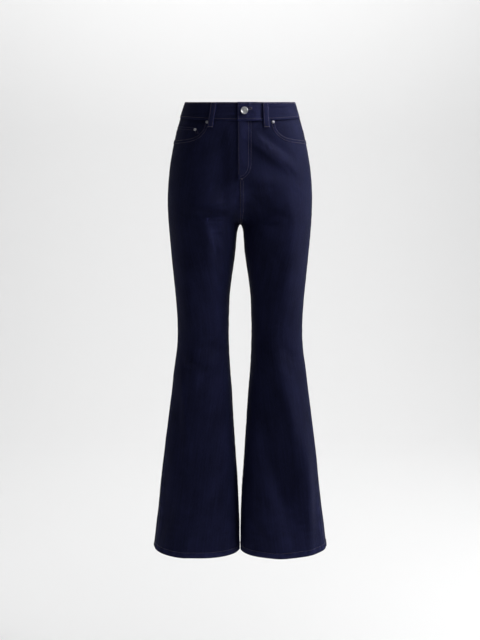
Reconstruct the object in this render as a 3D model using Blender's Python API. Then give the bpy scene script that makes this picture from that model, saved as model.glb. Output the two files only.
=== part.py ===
"""Bootcut jeans with a high rise, in the round form that they take when worn, with nobody in them.

Metres, +Z up. The front faces -Y and the wearer's left is +X. The origin is the centre of the waistband
ring, halfway up it. Every piece of cloth is a closed wall whose points come from one form: a ring for
each leg at each height, cut off at the middle above the crotch. What lies on a panel is made from the
same form, moved out.
"""

from collections import namedtuple

import bmesh
import bpy
import numpy as np
from mathutils import Matrix, Vector

# ------------------------------------------------------------------------------ driving sizes
DENIM = 0.0014              # one layer of denim
SEAM_GAP = 0.0003           # clear width between neighbouring pieces
LYING_GAP = 0.0007          # from a panel's points up to what lies on it, chords of both walls included

BAND_TOP = 0.0200           # top edge of the waistband at the sides, above the origin
BAND_SLOPE = 0.030          # the top edge climbs this much for each metre towards the back
BAND_HEIGHT = 0.0380        # waistband at the sides and the back
BAND_DIP = 0.0086           # how far the lower seam dips at the centre front
BAND_HALF = 0.144           # half width of the ring at the lower seam, where the dip starts
BAND_WALL = 0.0022          # folded waistband, two layers and the interlining
BAND_PROUD = 0.0008         # the band's face stands this far outside the panels' face
TAB_END = -0.0060           # x where the left band's lapped end stops
UNDERLAP = 0.0280           # how far the right band runs on behind it
TAB_FLAT = 0.0340           # the lapped end lies on top of the underlap up to here
TAB_RAMP = 0.0540           # and is back in line with the ring from here on

CROTCH = -0.2760            # lowest point of the seat seam
RISE_FRONT = 0.095          # the legs' rings part over this height above the crotch, in front
RISE_BACK = 0.105           # the same behind
WEB_REACH = 0.015           # how far from the middle the crotch's rounding reaches
PARTING = 0.045             # the whole ring takes up the gap between the legs over this height
CROWN_LOW = -0.330          # the rings' deepest lines leave the middle of each leg here
CROWN_HIGH = -0.090         # and meet at the middle of the body here,
CROWN_APART = 0.0005        # but for this much on each side
HEM_MIDDLE = -1.0920        # hem edge at the inseam
HEM_CLIMB = 0.0229          # the hem climbs this much for each metre towards the outseam
HEM_DROP = 0.0042           # the hem's middle hangs this much lower, front and back
HEM_HEIGHT = 0.0160         # turned hem
HEM_WALL = 0.0030           # three layers at the hem
TOP_LEVEL = -0.1000         # below this level the panels' rows are level

YOKE_SIDE = -0.0560         # yoke seam at the outseam
YOKE_CENTRE = -0.0960       # yoke seam at the centre back

# height of a ring; half width to the outer side; half the gap between the legs before the crotch's
# rounding; depth in front and behind; y of the outer side; radius of the crotch's rounding;
# squareness of the ring; how far the outseam and the inseam have swung to the front
Ring = namedtuple("Ring", "height outer parted front back side web square outseam inseam")
RINGS = (
    Ring(+0.040, 0.1245, 0.0000, 0.0890, 0.0840, 0.0000, 0.0000, 2.30, 0.0000, 0.0000),
    Ring(+0.020, 0.1320, 0.0000, 0.0920, 0.0870, 0.0000, 0.0000, 2.30, 0.0000, 0.0000),
    Ring(+0.000, 0.1390, 0.0000, 0.0950, 0.0905, 0.0000, 0.0000, 2.30, 0.0000, 0.0000),
    Ring(-0.020, 0.1446, 0.0000, 0.0975, 0.0940, 0.0002, 0.0000, 2.30, 0.0000, 0.0000),
    Ring(-0.050, 0.1535, 0.0000, 0.1005, 0.0985, 0.0010, 0.0000, 2.30, 0.0000, 0.0000),
    Ring(-0.095, 0.1631, 0.0000, 0.1030, 0.1055, 0.0030, 0.0015, 2.32, 0.0000, 0.0000),
    Ring(-0.140, 0.1709, 0.0000, 0.1038, 0.1125, 0.0055, 0.0060, 2.34, 0.0000, 0.0000),
    Ring(-0.190, 0.1753, 0.0000, 0.1028, 0.1185, 0.0080, 0.0090, 2.35, 0.0000, 0.0000),
    Ring(-0.240, 0.1757, 0.0000, 0.0998, 0.1195, 0.0090, 0.0100, 2.33, 0.0000, 0.0000),
    Ring(-0.290, 0.1729, 0.0024, 0.0952, 0.1100, 0.0080, 0.0100, 2.28, 0.0000, 0.0000),
    Ring(-0.340, 0.1684, 0.0088, 0.0898, 0.0955, 0.0050, 0.0060, 2.22, 0.0000, 0.0000),
    Ring(-0.400, 0.1625, 0.0192, 0.0826, 0.0805, 0.0010, 0.0022, 2.18, 0.0000, 0.0000),
    Ring(-0.460, 0.1564, 0.0260, 0.0745, 0.0692, -0.0020, 0.0004, 2.15, 0.0015, 0.0000),
    Ring(-0.500, 0.1537, 0.0274, 0.0694, 0.0645, -0.0025, 0.0000, 2.15, 0.0030, 0.0000),
    Ring(-0.530, 0.1530, 0.0282, 0.0666, 0.0626, -0.0020, 0.0000, 2.15, 0.0042, 0.0000),
    Ring(-0.560, 0.1538, 0.0280, 0.0655, 0.0625, -0.0014, 0.0000, 2.15, 0.0058, 0.0000),
    Ring(-0.590, 0.1564, 0.0270, 0.0655, 0.0635, -0.0010, 0.0000, 2.15, 0.0085, 0.0010),
    Ring(-0.630, 0.1625, 0.0248, 0.0665, 0.0656, -0.0005, 0.0000, 2.14, 0.0130, 0.0030),
    Ring(-0.680, 0.1687, 0.0210, 0.0678, 0.0684, 0.0002, 0.0000, 2.13, 0.0175, 0.0060),
    Ring(-0.760, 0.1789, 0.0165, 0.0692, 0.0722, 0.0015, 0.0000, 2.12, 0.0215, 0.0100),
    Ring(-0.860, 0.1912, 0.0098, 0.0705, 0.0765, 0.0030, 0.0000, 2.12, 0.0250, 0.0145),
    Ring(-0.960, 0.2038, 0.0037, 0.0718, 0.0802, 0.0042, 0.0000, 2.12, 0.0275, 0.0180),
    Ring(-1.020, 0.2110, 0.0012, 0.0724, 0.0822, 0.0049, 0.0000, 2.12, 0.0290, 0.0195),
    Ring(-1.060, 0.2157, 0.0009, 0.0728, 0.0833, 0.0052, 0.0000, 2.12, 0.0300, 0.0205),
    Ring(-1.110, 0.2215, 0.0009, 0.0734, 0.0845, 0.0056, 0.0000, 2.12, 0.0310, 0.0215),
)

# scooped hip pocket opening, from the waistband seam out to the outseam
Scoop = namedtuple("Scoop", "x height")
SCOOP = (
    Scoop(0.0800, -0.0200),
    Scoop(0.0820, -0.0310),
    Scoop(0.0880, -0.0478),
    Scoop(0.0940, -0.0548),
    Scoop(0.1004, -0.0600),
    Scoop(0.1080, -0.0640),
    Scoop(0.1180, -0.0668),
    Scoop(0.1360, -0.0694),
    Scoop(0.1700, -0.0724),
)
FACING_STEP = 0.0017        # the facing lies this far behind the front panel's face
FACING_WALL = 0.0012
FACING_TUCK = 0.0120        # how far it runs on below the opening's edge

# main folds: a straight crease from one end to the other, a bell across it; height < 0 is a trough.
# side is the wearer's, +1 for the left and -1 for the right, 0 for both
Fold = namedtuple("Fold", "side x_from z_from x_to z_to half_width height")
FRONT_FOLDS = (
    Fold(+1, 0.030, -0.062, 0.092, -0.098, 0.0100, +0.0024),
    Fold(+1, 0.080, -0.090, 0.148, -0.150, 0.0110, +0.0030),
    Fold(+1, 0.070, -0.108, 0.146, -0.170, 0.0120, -0.0022),
    Fold(+1, 0.060, -0.252, 0.128, -0.246, 0.0100, -0.0022),
    Fold(+1, 0.050, -0.262, 0.120, -0.262, 0.0100, +0.0016),
    Fold(-1, 0.024, -0.236, 0.104, -0.248, 0.0100, -0.0024),
    Fold(-1, 0.030, -0.222, 0.096, -0.232, 0.0110, +0.0018),
    Fold(-1, 0.084, -0.306, 0.052, -0.378, 0.0090, -0.0024),
    Fold(-1, 0.066, -0.300, 0.038, -0.370, 0.0090, +0.0020),
    Fold(-1, 0.060, -0.585, 0.118, -0.640, 0.0150, +0.0026),
    Fold(-1, 0.040, -0.545, 0.110, -0.590, 0.0130, -0.0020),
    Fold(+1, 0.078, -0.600, 0.130, -0.660, 0.0150, +0.0026),
    Fold(+1, 0.092, -0.560, 0.146, -0.612, 0.0130, -0.0024),
    Fold(+1, 0.092, -0.760, 0.176, -1.010, 0.0170, -0.0036),
    Fold(+1, 0.060, -0.740, 0.070, -0.980, 0.0200, +0.0024),
    Fold(-1, 0.150, -0.700, 0.158, -0.930, 0.0200, +0.0020),
)
BACK_FOLDS = (
    Fold(0, 0.040, -0.292, 0.138, -0.268, 0.0110, -0.0026),
    Fold(0, 0.046, -0.316, 0.140, -0.300, 0.0120, +0.0020),
    Fold(0, 0.050, -0.344, 0.132, -0.332, 0.0110, -0.0018),
    Fold(+1, 0.046, -0.540, 0.128, -0.520, 0.0110, -0.0024),
    Fold(-1, 0.050, -0.548, 0.132, -0.532, 0.0120, -0.0022),
    Fold(0, 0.050, -0.580, 0.136, -0.566, 0.0130, +0.0020),
    Fold(+1, 0.100, -0.700, 0.120, -0.940, 0.0200, -0.0030),
    Fold(-1, 0.110, -0.720, 0.100, -0.960, 0.0220, -0.0028),
)

POCKET_WIDTH = 0.1320       # back patch pocket at its top
POCKET_TAPER = 0.0060       # each side comes in by this much at the lower corners
POCKET_SIDE = 0.1180        # height of its sides
POCKET_POINT = 0.0200       # the point hangs this far below the lower corners
POCKET_TOP = -0.1150        # height of its top edge
POCKET_CENTRE = 0.1320      # from the outseam, along the cloth

LOOP_WIDTH = 0.0135
LOOP_WALL = 0.0018
LOOP_TOP = 0.0180           # from the origin's height, at the side of the band
LOOP_FOOT = -0.0410
LOOP_BULGE = 0.0024         # clear height under a loop at the middle of the band

# fly flap: x of its outer edge down to the J curve's end
FLY_EDGE = -0.0047          # the lapped edge, just past the centre
FLY_WIDTH = 0.0275          # from the centre to the outer row of sewing
FLY_STRAIGHT = -0.1260      # the J curve starts here
FLY_END = -0.1640

ZIP_HALF_WIDTH = 0.0120
ZIP_TOP = -0.0340
ZIP_END = -0.1560

BUTTON_X = 0.0102
BUTTON_Z = -0.0030
BUTTON_RADIUS = 0.0085
RIVET_RADIUS = 0.0034

RING_POINTS = 120           # points worked out around half a ring
FORM_STEP = 0.0060          # height between the form's rings

# ------------------------------------------------------------------------------ columns and rows
# how far across each half of a leg a panel's columns stand, 0 in the middle and 1 at the outseam
FRONT_COLUMNS = (0.0, 0.045, 0.10, 0.17, 0.25, 0.33, 0.41, 0.515, 0.59, 0.67, 0.75, 0.83, 0.915, 1.0)
BACK_COLUMNS = (0.0, 0.03, 0.065, 0.105, 0.15, 0.21, 0.28, 0.36, 0.44, 0.53, 0.62, 0.71, 0.80, 0.90, 1.0)
SCOOP_COLUMN = 6            # the front column where the pocket opening starts


def ease(t):
    """0 up to t = 0, 1 from t = 1 on, and 3 t^2 - 2 t^3 between."""
    t = np.clip(t, 0.0, 1.0)
    return t ** 2 * (3.0 - 2.0 * t)


def smooth(at, height, value):
    """Cubic through the points (height, value), with slopes from each point's two neighbours."""
    order = np.argsort(height)
    z, v = np.asarray(height, float)[order], np.asarray(value, float)[order]
    slope = np.gradient(v, z)
    at = np.clip(at, z[0], z[-1])
    k = np.clip(np.searchsorted(z, at) - 1, 0, len(z) - 2)
    span = z[k + 1] - z[k]
    t = (at - z[k]) / span
    return ((2 * t ** 3 - 3 * t ** 2 + 1) * v[k] + (t ** 3 - 2 * t ** 2 + t) * span * slope[k]
            + (3 * t ** 2 - 2 * t ** 3) * v[k + 1] + (t ** 3 - t ** 2) * span * slope[k + 1])


def ring_value(name, height):
    """One column of RINGS at any height. The legs haven't parted above the crotch."""
    rings = RINGS
    if name == "parted":
        rings = [ring for ring in RINGS if ring.height < CROTCH] + [Ring(CROTCH, *[0.0] * 9)]
    value = smooth(height, [ring.height for ring in rings], [getattr(ring, name) for ring in rings])
    return np.where(height < CROTCH, value, 0.0) if name == "parted" else value


def half_ring(height, front):
    """Front or back half of a leg's ring at each height, from its outer side to its middle.

    Two superellipse quarters meet at the crown, the ring's deepest line: one reaches the outer side, one the
    middle. Above the crotch the inner one is cut short by cut < 1, so it ends at
    depth (1 - cut^n)^(1/n), and those ends trace the seat seam. Just below the crotch only the inner side
    stands at the gap between the legs. The web rounds the seam and the gap's top: x becomes
    sqrt(x^2 + 2 web x exp(-x / reach)).
    """
    height = np.asarray(height, float)[:, None]
    outer = ring_value("outer", height)
    gap = ring_value("parted", height)
    parted = gap * ease((CROTCH - height) / PARTING)
    side = ring_value("side", height)
    square = ring_value("square", height)
    depth = ring_value("front", height) + side if front else ring_value("back", height) - side
    together = ease(ease((height - CROWN_LOW) / (CROWN_HIGH - CROWN_LOW)))
    crown = outer / 2 * (1.0 - together) + parted / 2 + CROWN_APART
    rise = np.clip((height - CROTCH) / (RISE_FRONT if front else RISE_BACK), 0.0, 1.0)
    cut = 0.5 + 0.5 * np.cos(np.pi * rise)
    t = np.linspace(0.0, 1.0, RING_POINTS)[None, :]
    u = np.pi * (1.0 - t) ** 1.7
    w = np.abs(np.cos(u)) ** (2.0 / square)
    outside = u > np.pi / 2
    x = crown + np.where(outside, (outer - crown) * w, (parted - crown) * w + (gap - parted) * w ** 3)
    x = np.maximum(x, 0.0)
    reach = (1.0 - (np.where(outside, 1.0, cut) * w) ** square) ** (1.0 / square)
    y = side + (-1.0 if front else 1.0) * depth * reach
    web = np.maximum(ring_value("web", height), 0.0)
    x = np.sqrt(x ** 2 + 2 * web * x * np.exp(-x / WEB_REACH))
    return np.stack([x, y], axis=-1)


def walk(height, along):
    """Points on the wearer's left leg: height (rows), along (rows, columns) measured round the ring.

    along is 0 at the outer side, grows to the front and falls to the back. Past the middle the walk goes on
    to the other half of the leg's ring, or above the crotch to the mirrored side.
    """
    front, back = half_ring(height, True), half_ring(height, False)
    mirror = np.array([-1.0, 1.0])
    whole = (np.asarray(height) > CROTCH)[:, None, None]
    near = RING_POINTS // 2
    past_front = np.where(whole, front[:, ::-1] * mirror, back[:, ::-1])[:, 1:near]
    past_back = np.where(whole, back[:, ::-1] * mirror, front[:, ::-1])[:, 1:near][:, ::-1]
    line = np.concatenate([past_back, back[:, ::-1], front[:, 1:], past_front], axis=1)
    length = np.concatenate([np.zeros((len(line), 1)),
                             np.cumsum(np.linalg.norm(np.diff(line, axis=1), axis=2), axis=1)], axis=1)
    length -= length[:, near - 1 + RING_POINTS - 1][:, None]
    return np.stack([[np.interp(along[k], length[k], line[k, :, axis]) for axis in range(2)]
                     for k in range(len(line))]).transpose(0, 2, 1)


def half_length(height, front):
    """Length of each half ring, from the outer side to the middle."""
    ring = half_ring(height, front)
    return np.linalg.norm(np.diff(ring, axis=1), axis=2).sum(axis=1)


def bell(points, folds, side):
    """How far the folds lift the cloth at each point: a bell across each crease, fading towards its ends."""
    lift = np.zeros(points.shape[:-1])
    for fold in folds:
        if fold.side not in (0, side):
            continue
        run = np.array([fold.x_to - fold.x_from, fold.z_to - fold.z_from])
        reach = np.linalg.norm(run)
        off = np.stack([points[..., 0] - fold.x_from, points[..., 2] - fold.z_from], axis=-1)
        down = off @ run / reach ** 2
        across = (off[..., 0] * run[1] - off[..., 1] * run[0]) / reach
        fade = np.sin(np.pi * np.clip(down * 0.8 + 0.1, 0.0, 1.0)) ** 2
        lift += fold.height * fade * np.exp(-(across / fold.half_width) ** 2)
    return lift


Form = namedtuple("Form", "height points normals")


def cloth_form(side, front, columns, folds=()):
    """The form under one half of a leg: columns of points from the waist to below the hem, and their normals.

    Column 0 runs down the seat seam and the inseam, column 1 down the outseam, half a gap inside each.
    """
    above = CROTCH + 0.31 * np.linspace(1.0, 0.0, 56) ** 2
    below = CROTCH - 0.09 * np.linspace(0.0, 1.0, 22)[1:] ** 2
    rest = np.arange(below[-1] - FORM_STEP, RINGS[-1].height, -FORM_STEP)
    height = np.concatenate([above, below, rest])
    length = half_length(height, front)
    outseam = ring_value("outseam", height) * (1.0 if front else -1.0)
    inseam = ring_value("inseam", height) * (1.0 if front else -1.0)
    share = np.asarray(columns)[None, :]
    near, far = outseam + SEAM_GAP / 2, length - inseam - SEAM_GAP / 2
    along = (far[:, None] * (1.0 - share) + near[:, None] * share) * (1.0 if front else -1.0)
    step = 0.0010
    points = walk(height, along)
    run = walk(height, along + step) - walk(height, along - step)
    points = np.concatenate([points, np.broadcast_to(height[:, None, None], points.shape[:2] + (1,))], axis=2)
    run = np.concatenate([run, np.zeros(run.shape[:2] + (1,))], axis=2)
    drop = np.gradient(points, axis=0)
    normals = np.cross(run, drop)
    row = int(np.argmin(np.abs(height - CROTCH)))
    normals[row, 0] = (0.0, 0.0, -1.0)
    normals[:row, 0, 0] = 0.0
    normals /= np.linalg.norm(normals, axis=2, keepdims=True)
    points = points + normals * bell(points, folds, side)[..., None]
    flip = np.array([side, 1.0, 1.0])
    return Form(height, points * flip, normals * flip)


def on_form(form, chosen, height, out):
    """Points of the chosen columns at the given heights (rows, columns), moved out from the form."""
    height = np.asarray(height, float)
    out = np.broadcast_to(np.asarray(out, float), height.shape)
    result = np.empty(height.shape + (3,))
    order = np.argsort(form.height)
    for place, column in enumerate(chosen):
        for axis in range(3):
            values = np.interp(height[:, place], form.height[order], form.points[order, column, axis])
            normal = np.interp(height[:, place], form.height[order], form.normals[order, column, axis])
            result[:, place, axis] = values + normal * out[:, place]
    return result


def rows_between(top, bottom, steps):
    """Rows of heights from one edge to another, both given for each column."""
    share = np.linspace(0.0, 1.0, steps + 1)[:, None]
    return np.asarray(top)[None, :] * (1.0 - share) + np.asarray(bottom)[None, :] * share


# ------------------------------------------------------------------------------ solids
def material(name, colour, roughness, metallic=0.0):
    """Plain surface with the piece's own colour."""
    result = bpy.data.materials.new(name)
    result.use_nodes = True
    shader = result.node_tree.nodes["Principled BSDF"]
    shader.inputs["Base Color"].default_value = (*colour, 1.0)
    shader.inputs["Roughness"].default_value = roughness
    shader.inputs["Metallic"].default_value = metallic
    return result


def add_solid(name, points, faces, finish, smooth_angle=0.7):
    """Closed body from its points and faces, with its faces turned outwards."""
    mesh = bpy.data.meshes.new(name)
    mesh.from_pydata([tuple(p) for p in points], [], [tuple(int(i) for i in f) for f in faces])
    work = bmesh.new()
    work.from_mesh(mesh)
    bmesh.ops.recalc_face_normals(work, faces=work.faces)
    work.to_mesh(mesh)
    work.free()
    mesh.shade_smooth()
    mesh.set_sharp_from_angle(angle=smooth_angle)
    mesh.materials.append(finish)
    solid = bpy.data.objects.new(name, mesh)
    bpy.context.collection.objects.link(solid)
    return solid


def slab(name, face, lining, finish):
    """Closed wall between its outer points and its inner points, two grids of the same shape."""
    rows, columns = face.shape[:2]
    count = rows * columns
    grid = np.arange(count).reshape(rows, columns)
    quads = np.stack([grid[:-1, :-1], grid[1:, :-1], grid[1:, 1:], grid[:-1, 1:]], axis=-1).reshape(-1, 4)
    rim = np.concatenate([grid[0, :-1], grid[:-1, -1], grid[-1, :0:-1], grid[:0:-1, 0]])
    after = np.roll(rim, -1)
    edge = np.stack([rim, after, after + count, rim + count], axis=-1)
    faces = np.concatenate([quads, quads[:, ::-1] + count, edge])
    points = np.concatenate([face.reshape(-1, 3), lining.reshape(-1, 3)])
    return add_solid(name, points, faces, finish)


def turned(name, profile, place, axis, finish, sides=28):
    """Round piece: the profile's radii and heights turned about its axis, closed at both ends."""
    angle = np.linspace(0.0, 2 * np.pi, sides, endpoint=False)
    radius = np.array([p.radius for p in profile])[:, None]
    rise = np.array([p.rise for p in profile])[:, None]
    rings = np.stack([radius * np.cos(angle), radius * np.sin(angle),
                      np.broadcast_to(rise, (len(profile), sides))], axis=-1).reshape(-1, 3)
    points = np.concatenate([rings, [[0.0, 0.0, profile[0].rise], [0.0, 0.0, profile[-1].rise]]])
    grid = np.arange(len(profile) * sides).reshape(len(profile), sides)
    after = np.roll(grid, -1, axis=1)
    quads = np.stack([grid[:-1], after[:-1], after[1:], grid[1:]], axis=-1).reshape(-1, 4)
    ends = [(len(rings), after[0, k], grid[0, k]) for k in range(sides)]
    ends += [(len(rings) + 1, grid[-1, k], after[-1, k]) for k in range(sides)]
    solid = add_solid(name, points, [*quads, *ends], finish, 0.5)
    turn = Vector(axis).to_track_quat("Z", "Y").to_matrix().to_4x4()
    solid.matrix_world = Matrix.Translation(Vector(place)) @ turn
    return solid


# ------------------------------------------------------------------------------ edges of the pieces
def band_foot(x, y):
    """Height of the waistband's lower seam: it climbs to the back and dips at the centre front."""
    low = BAND_TOP - BAND_HEIGHT + BAND_SLOPE * np.maximum(y, 0.0)
    return low - np.where(y < 0.0, BAND_DIP * np.clip(1.0 - (x / BAND_HALF) ** 2, 0.0, 1.0), 0.0)


def band_crest(y):
    """Height of the waistband's top edge."""
    return BAND_TOP + BAND_SLOPE * y


def at_level(form, column, height, axis):
    """One coordinate of a form's column at a height."""
    order = np.argsort(form.height)
    return np.interp(height, form.height[order], form.points[order, column, axis])


def seam_under_band(form):
    """Heights of a panel's top edge under the waistband, for each column."""
    columns = range(form.points.shape[1])
    level = np.array([[at_level(form, c, -0.022, axis) for axis in (0, 1)] for c in columns])
    return band_foot(np.abs(level[:, 0]), level[:, 1]) - SEAM_GAP


def scoop_height(form, top):
    """Heights of the front panel's top edge: the waistband seam, then the pocket opening."""
    edge = top.copy()
    for column in range(SCOOP_COLUMN + 1, form.points.shape[1]):
        height = -0.055
        for _ in range(6):
            x = abs(at_level(form, column, height, 0))
            height = np.interp(x, [s.x for s in SCOOP], [s.height for s in SCOOP])
        edge[column] = height
    return edge


def yoke_seam(columns):
    """Heights of the yoke's lower seam: straight from the centre back up to the outseam."""
    share = np.asarray(columns)
    return YOKE_CENTRE * (1.0 - share) + YOKE_SIDE * share


def hem_edge(form):
    """Heights of the hem's edge for each column."""
    columns = range(form.points.shape[1])
    level = np.array([[abs(at_level(form, c, HEM_MIDDLE, axis)) for axis in (0, 1)] for c in columns])
    return HEM_MIDDLE + HEM_CLIMB * level[:, 0] - HEM_DROP * np.clip(level[:, 1] / 0.078, 0.0, 1.0) ** 2


def panel_rows(top, hem):
    """Heights of a leg panel's rows: from its top edge to a level row, close together at the crotch, then
    down the leg and round the turned hem."""
    columns = len(top)
    upper = rows_between(top, np.full(columns, TOP_LEVEL), 5)
    near_crotch = CROTCH + (TOP_LEVEL - CROTCH) * (np.arange(8, -1, -1) / 9.0) ** 2
    under_crotch = CROTCH - 0.090 * (np.arange(1, 6) / 5.0) ** 2
    leg = np.linspace(under_crotch[-1], -1.050, 21)[1:]
    level = np.concatenate([near_crotch, under_crotch, leg])
    middle = np.broadcast_to(level[:, None], (len(level), columns))
    turn = np.stack([hem + HEM_HEIGHT + 0.0012, hem + HEM_HEIGHT, hem])
    return np.concatenate([upper, middle, turn])


def build_panel(name, form, rows, finish):
    """Leg panel: one layer deep, and three over its last two rows, the turned hem."""
    columns = range(form.points.shape[1])
    depth = np.full(rows.shape, -DENIM)
    depth[-2:] = -HEM_WALL
    slab(name, on_form(form, columns, rows, 0.0), on_form(form, columns, rows, depth), finish)


# ------------------------------------------------------------------------------ the pieces
def build_front(side, name, finish):
    """Front leg panel with its pocket opening."""
    form = cloth_form(side, True, FRONT_COLUMNS, FRONT_FOLDS)
    top = seam_under_band(form)
    build_panel("front_" + name, form, panel_rows(scoop_height(form, top), hem_edge(form)), finish)
    return form, top


def build_facing(side, name, finish, form, top):
    """Hip pocket facing: from the waistband seam to just below the opening's edge, behind the front panel."""
    chosen = list(range(SCOOP_COLUMN - 1, len(FRONT_COLUMNS)))
    edge = scoop_height(form, top)[chosen]
    edge[:2] = edge[2]
    rows = rows_between(top[chosen], edge - FACING_TUCK, 5)
    outside = on_form(form, chosen, rows, -FACING_STEP)
    slab("pocket_facing_" + name, outside, on_form(form, chosen, rows, -FACING_STEP - FACING_WALL), finish)


def build_coin_pocket(finish, form, top):
    """Coin pocket on the right facing, inside the pocket opening."""
    chosen = list(range(SCOOP_COLUMN + 1, len(FRONT_COLUMNS)))
    edge = scoop_height(form, top)[chosen] + 0.0006
    mouth = np.linspace(-0.0415, -0.0372, len(chosen))
    rows = rows_between(mouth, edge, 3)
    face = on_form(form, chosen, rows, -FACING_STEP + SEAM_GAP + 0.0011)
    slab("coin_pocket", face, on_form(form, chosen, rows, -FACING_STEP + SEAM_GAP), finish)


def build_back(side, name, finish):
    """Back leg panel and the yoke above it."""
    form = cloth_form(side, False, BACK_COLUMNS, BACK_FOLDS)
    columns = range(len(BACK_COLUMNS))
    top = seam_under_band(form)
    seam = yoke_seam(BACK_COLUMNS)
    build_panel("back_" + name, form, panel_rows(seam - SEAM_GAP, hem_edge(form)), finish)
    rows = rows_between(top, seam, 3)
    slab("yoke_" + name, on_form(form, columns, rows, 0.0), on_form(form, columns, rows, -DENIM), finish)


def band_angle(x):
    """Angle round the waist, from the centre front, at which the band's ring reaches x in front."""
    return np.arcsin(np.clip(np.abs(x) / 0.139, 0.0, 1.0) ** 1.15) * np.sign(x)


def on_waist(angle, height, out):
    """Points of the torso's ring above the rise, by angle from the centre front towards the wearer's left."""
    outer, side = ring_value("outer", height), ring_value("side", height)
    power = 2.0 / ring_value("square", height)
    ahead = np.cos(angle) > 0.0
    depth = np.where(ahead, ring_value("front", height) + side, ring_value("back", height) - side)
    sin, cos = np.sin(angle), np.cos(angle)
    x = outer * np.sign(sin) * np.abs(sin) ** power
    y = side - depth * np.sign(cos) * np.abs(cos) ** power
    normal = np.stack([np.sign(sin) * np.abs(sin) ** (2.0 - power) / outer,
                       -np.sign(cos) * np.abs(cos) ** (2.0 - power) / depth, np.zeros_like(sin)], axis=-1)
    normal /= np.linalg.norm(normal, axis=-1, keepdims=True)
    return np.stack([x, y, np.broadcast_to(height, x.shape)], axis=-1) + normal * np.asarray(out)[..., None]


def tab_lift(x, y):
    """How far the left band is moved out in front, where its end lies on the underlap."""
    return (BAND_WALL + SEAM_GAP) * np.where(y < 0.0, ease((TAB_RAMP - x) / (TAB_RAMP - TAB_FLAT)), 0.0)


def build_band(side, name, finish, start):
    """Half of the waistband, from its end at the centre front round to the centre back."""
    first = band_angle(start)
    angle = np.concatenate([np.linspace(first, band_angle(TAB_RAMP), 8)[:-1],
                            np.linspace(band_angle(TAB_RAMP), np.pi - 0.0002 / 0.12, 19)])
    flip = np.array([side, 1.0, 1.0])
    guide = on_waist(angle, np.full(angle.shape, 0.0), np.zeros(angle.shape))
    foot = band_foot(guide[:, 0], guide[:, 1])
    crest = band_crest(guide[:, 1])
    rows = rows_between(crest, foot, 3)
    lift = tab_lift(guide[:, 0], guide[:, 1]) if side > 0 else np.zeros(angle.shape)
    turn = np.broadcast_to(angle, rows.shape)
    face = on_waist(turn, rows, np.broadcast_to(lift + BAND_PROUD, rows.shape))
    lining = on_waist(turn, rows, np.broadcast_to(lift + BAND_PROUD - BAND_WALL, rows.shape))
    return slab("waistband_" + name, face * flip, lining * flip, finish)


def waist_turns(angle, height, aside):
    """Angles round the waist's ring at each height (rows) that lie a length aside (columns) from an angle."""
    turn = np.linspace(-1.2 * np.pi, 1.2 * np.pi, 1201)
    line = on_waist(np.broadcast_to(turn, (len(height), len(turn))), height, np.zeros((len(height), 1)))
    run = np.cumsum(np.linalg.norm(np.diff(line, axis=1, prepend=line[:, :1]), axis=2), axis=1)
    place = [np.interp(angle[k], turn, run[k]) + aside for k in range(len(run))]
    return np.stack([np.interp(place[k], run[k], turn) for k in range(len(run))])


def build_loop(name, finish, angle_top, angle_foot, drop):
    """Belt loop: a folded strip fixed at the band's top edge and below its lower seam, clear between."""
    share = np.linspace(0.0, 1.0, 10)[:, None]
    height = LOOP_TOP * (1.0 - share) + LOOP_FOOT * share + drop
    angle = angle_top * (1.0 - share) + angle_foot * share
    turn = waist_turns(angle, height, np.linspace(-0.5, 0.5, 4) * LOOP_WIDTH)
    rise = BAND_PROUD * (1.0 - np.clip((share - 0.66) / 0.22, 0.0, 1.0) ** 2)
    rise = rise + SEAM_GAP + 0.0002 + LOOP_BULGE * np.sin(np.pi * np.clip(share * 1.04, 0.0, 1.0)) ** 0.8
    out = np.broadcast_to(rise, turn.shape)
    tall = np.broadcast_to(height, turn.shape)
    slab(name, on_waist(turn, tall, out + LOOP_WALL), on_waist(turn, tall, out), finish)


def on_front(x, height, out):
    """Points near the centre front at the given x and heights, moved out from the form."""
    height = np.asarray(height, float)
    result = np.empty(x.shape + (3,))
    step = 0.0010
    for k, level in np.ndenumerate(height):
        ring = half_ring([level - step, level, level + step], True)[:, ::-1]
        low, y, high = [np.interp(abs(x[k]), ring[j, :, 0], ring[j, :, 1]) for j in range(3)]
        aside = np.interp(abs(x[k]) + step, ring[1, :, 0], ring[1, :, 1])
        normal = np.array([(aside - y) / step * np.sign(x[k]), -1.0, (high - low) / (2 * step)])
        normal /= np.linalg.norm(normal)
        result[k] = np.array([x[k], y, level]) + normal * out
    return result


def build_fly(finish):
    """Fly flap: the doubled edge of the left front, lapped past the centre, with its J-shaped outer edge."""
    top = band_foot(np.array(0.0), np.array(-0.1)) - 0.0006
    bend = np.radians(np.linspace(0.0, 82.0, 8))
    height = np.concatenate([np.linspace(top, FLY_STRAIGHT, 9)[:-1],
                             FLY_STRAIGHT + (FLY_END - FLY_STRAIGHT) * np.sin(bend)])
    outer = np.concatenate([np.full(8, FLY_WIDTH), FLY_EDGE + (FLY_WIDTH - FLY_EDGE) * np.cos(bend)])
    across = np.linspace(0.0, 1.0, 5)[None, :]
    x = FLY_EDGE * (1.0 - across) + outer[:, None] * across
    height = np.broadcast_to(height[:, None], x.shape)
    slab("fly_flap", on_front(x, height, LYING_GAP + 0.0012), on_front(x, height, LYING_GAP), finish)


def build_zip(finish):
    """Closed zip on its tapes, behind the fly."""
    height = np.linspace(ZIP_TOP, ZIP_END, 10)
    x = np.linspace(-ZIP_HALF_WIDTH, ZIP_HALF_WIDTH, 5)
    height, x = np.meshgrid(height, x, indexing="ij")
    behind = -DENIM - LYING_GAP
    slab("zip", on_front(x, height, behind), on_front(x, height, behind - 0.0012), finish)


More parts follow.
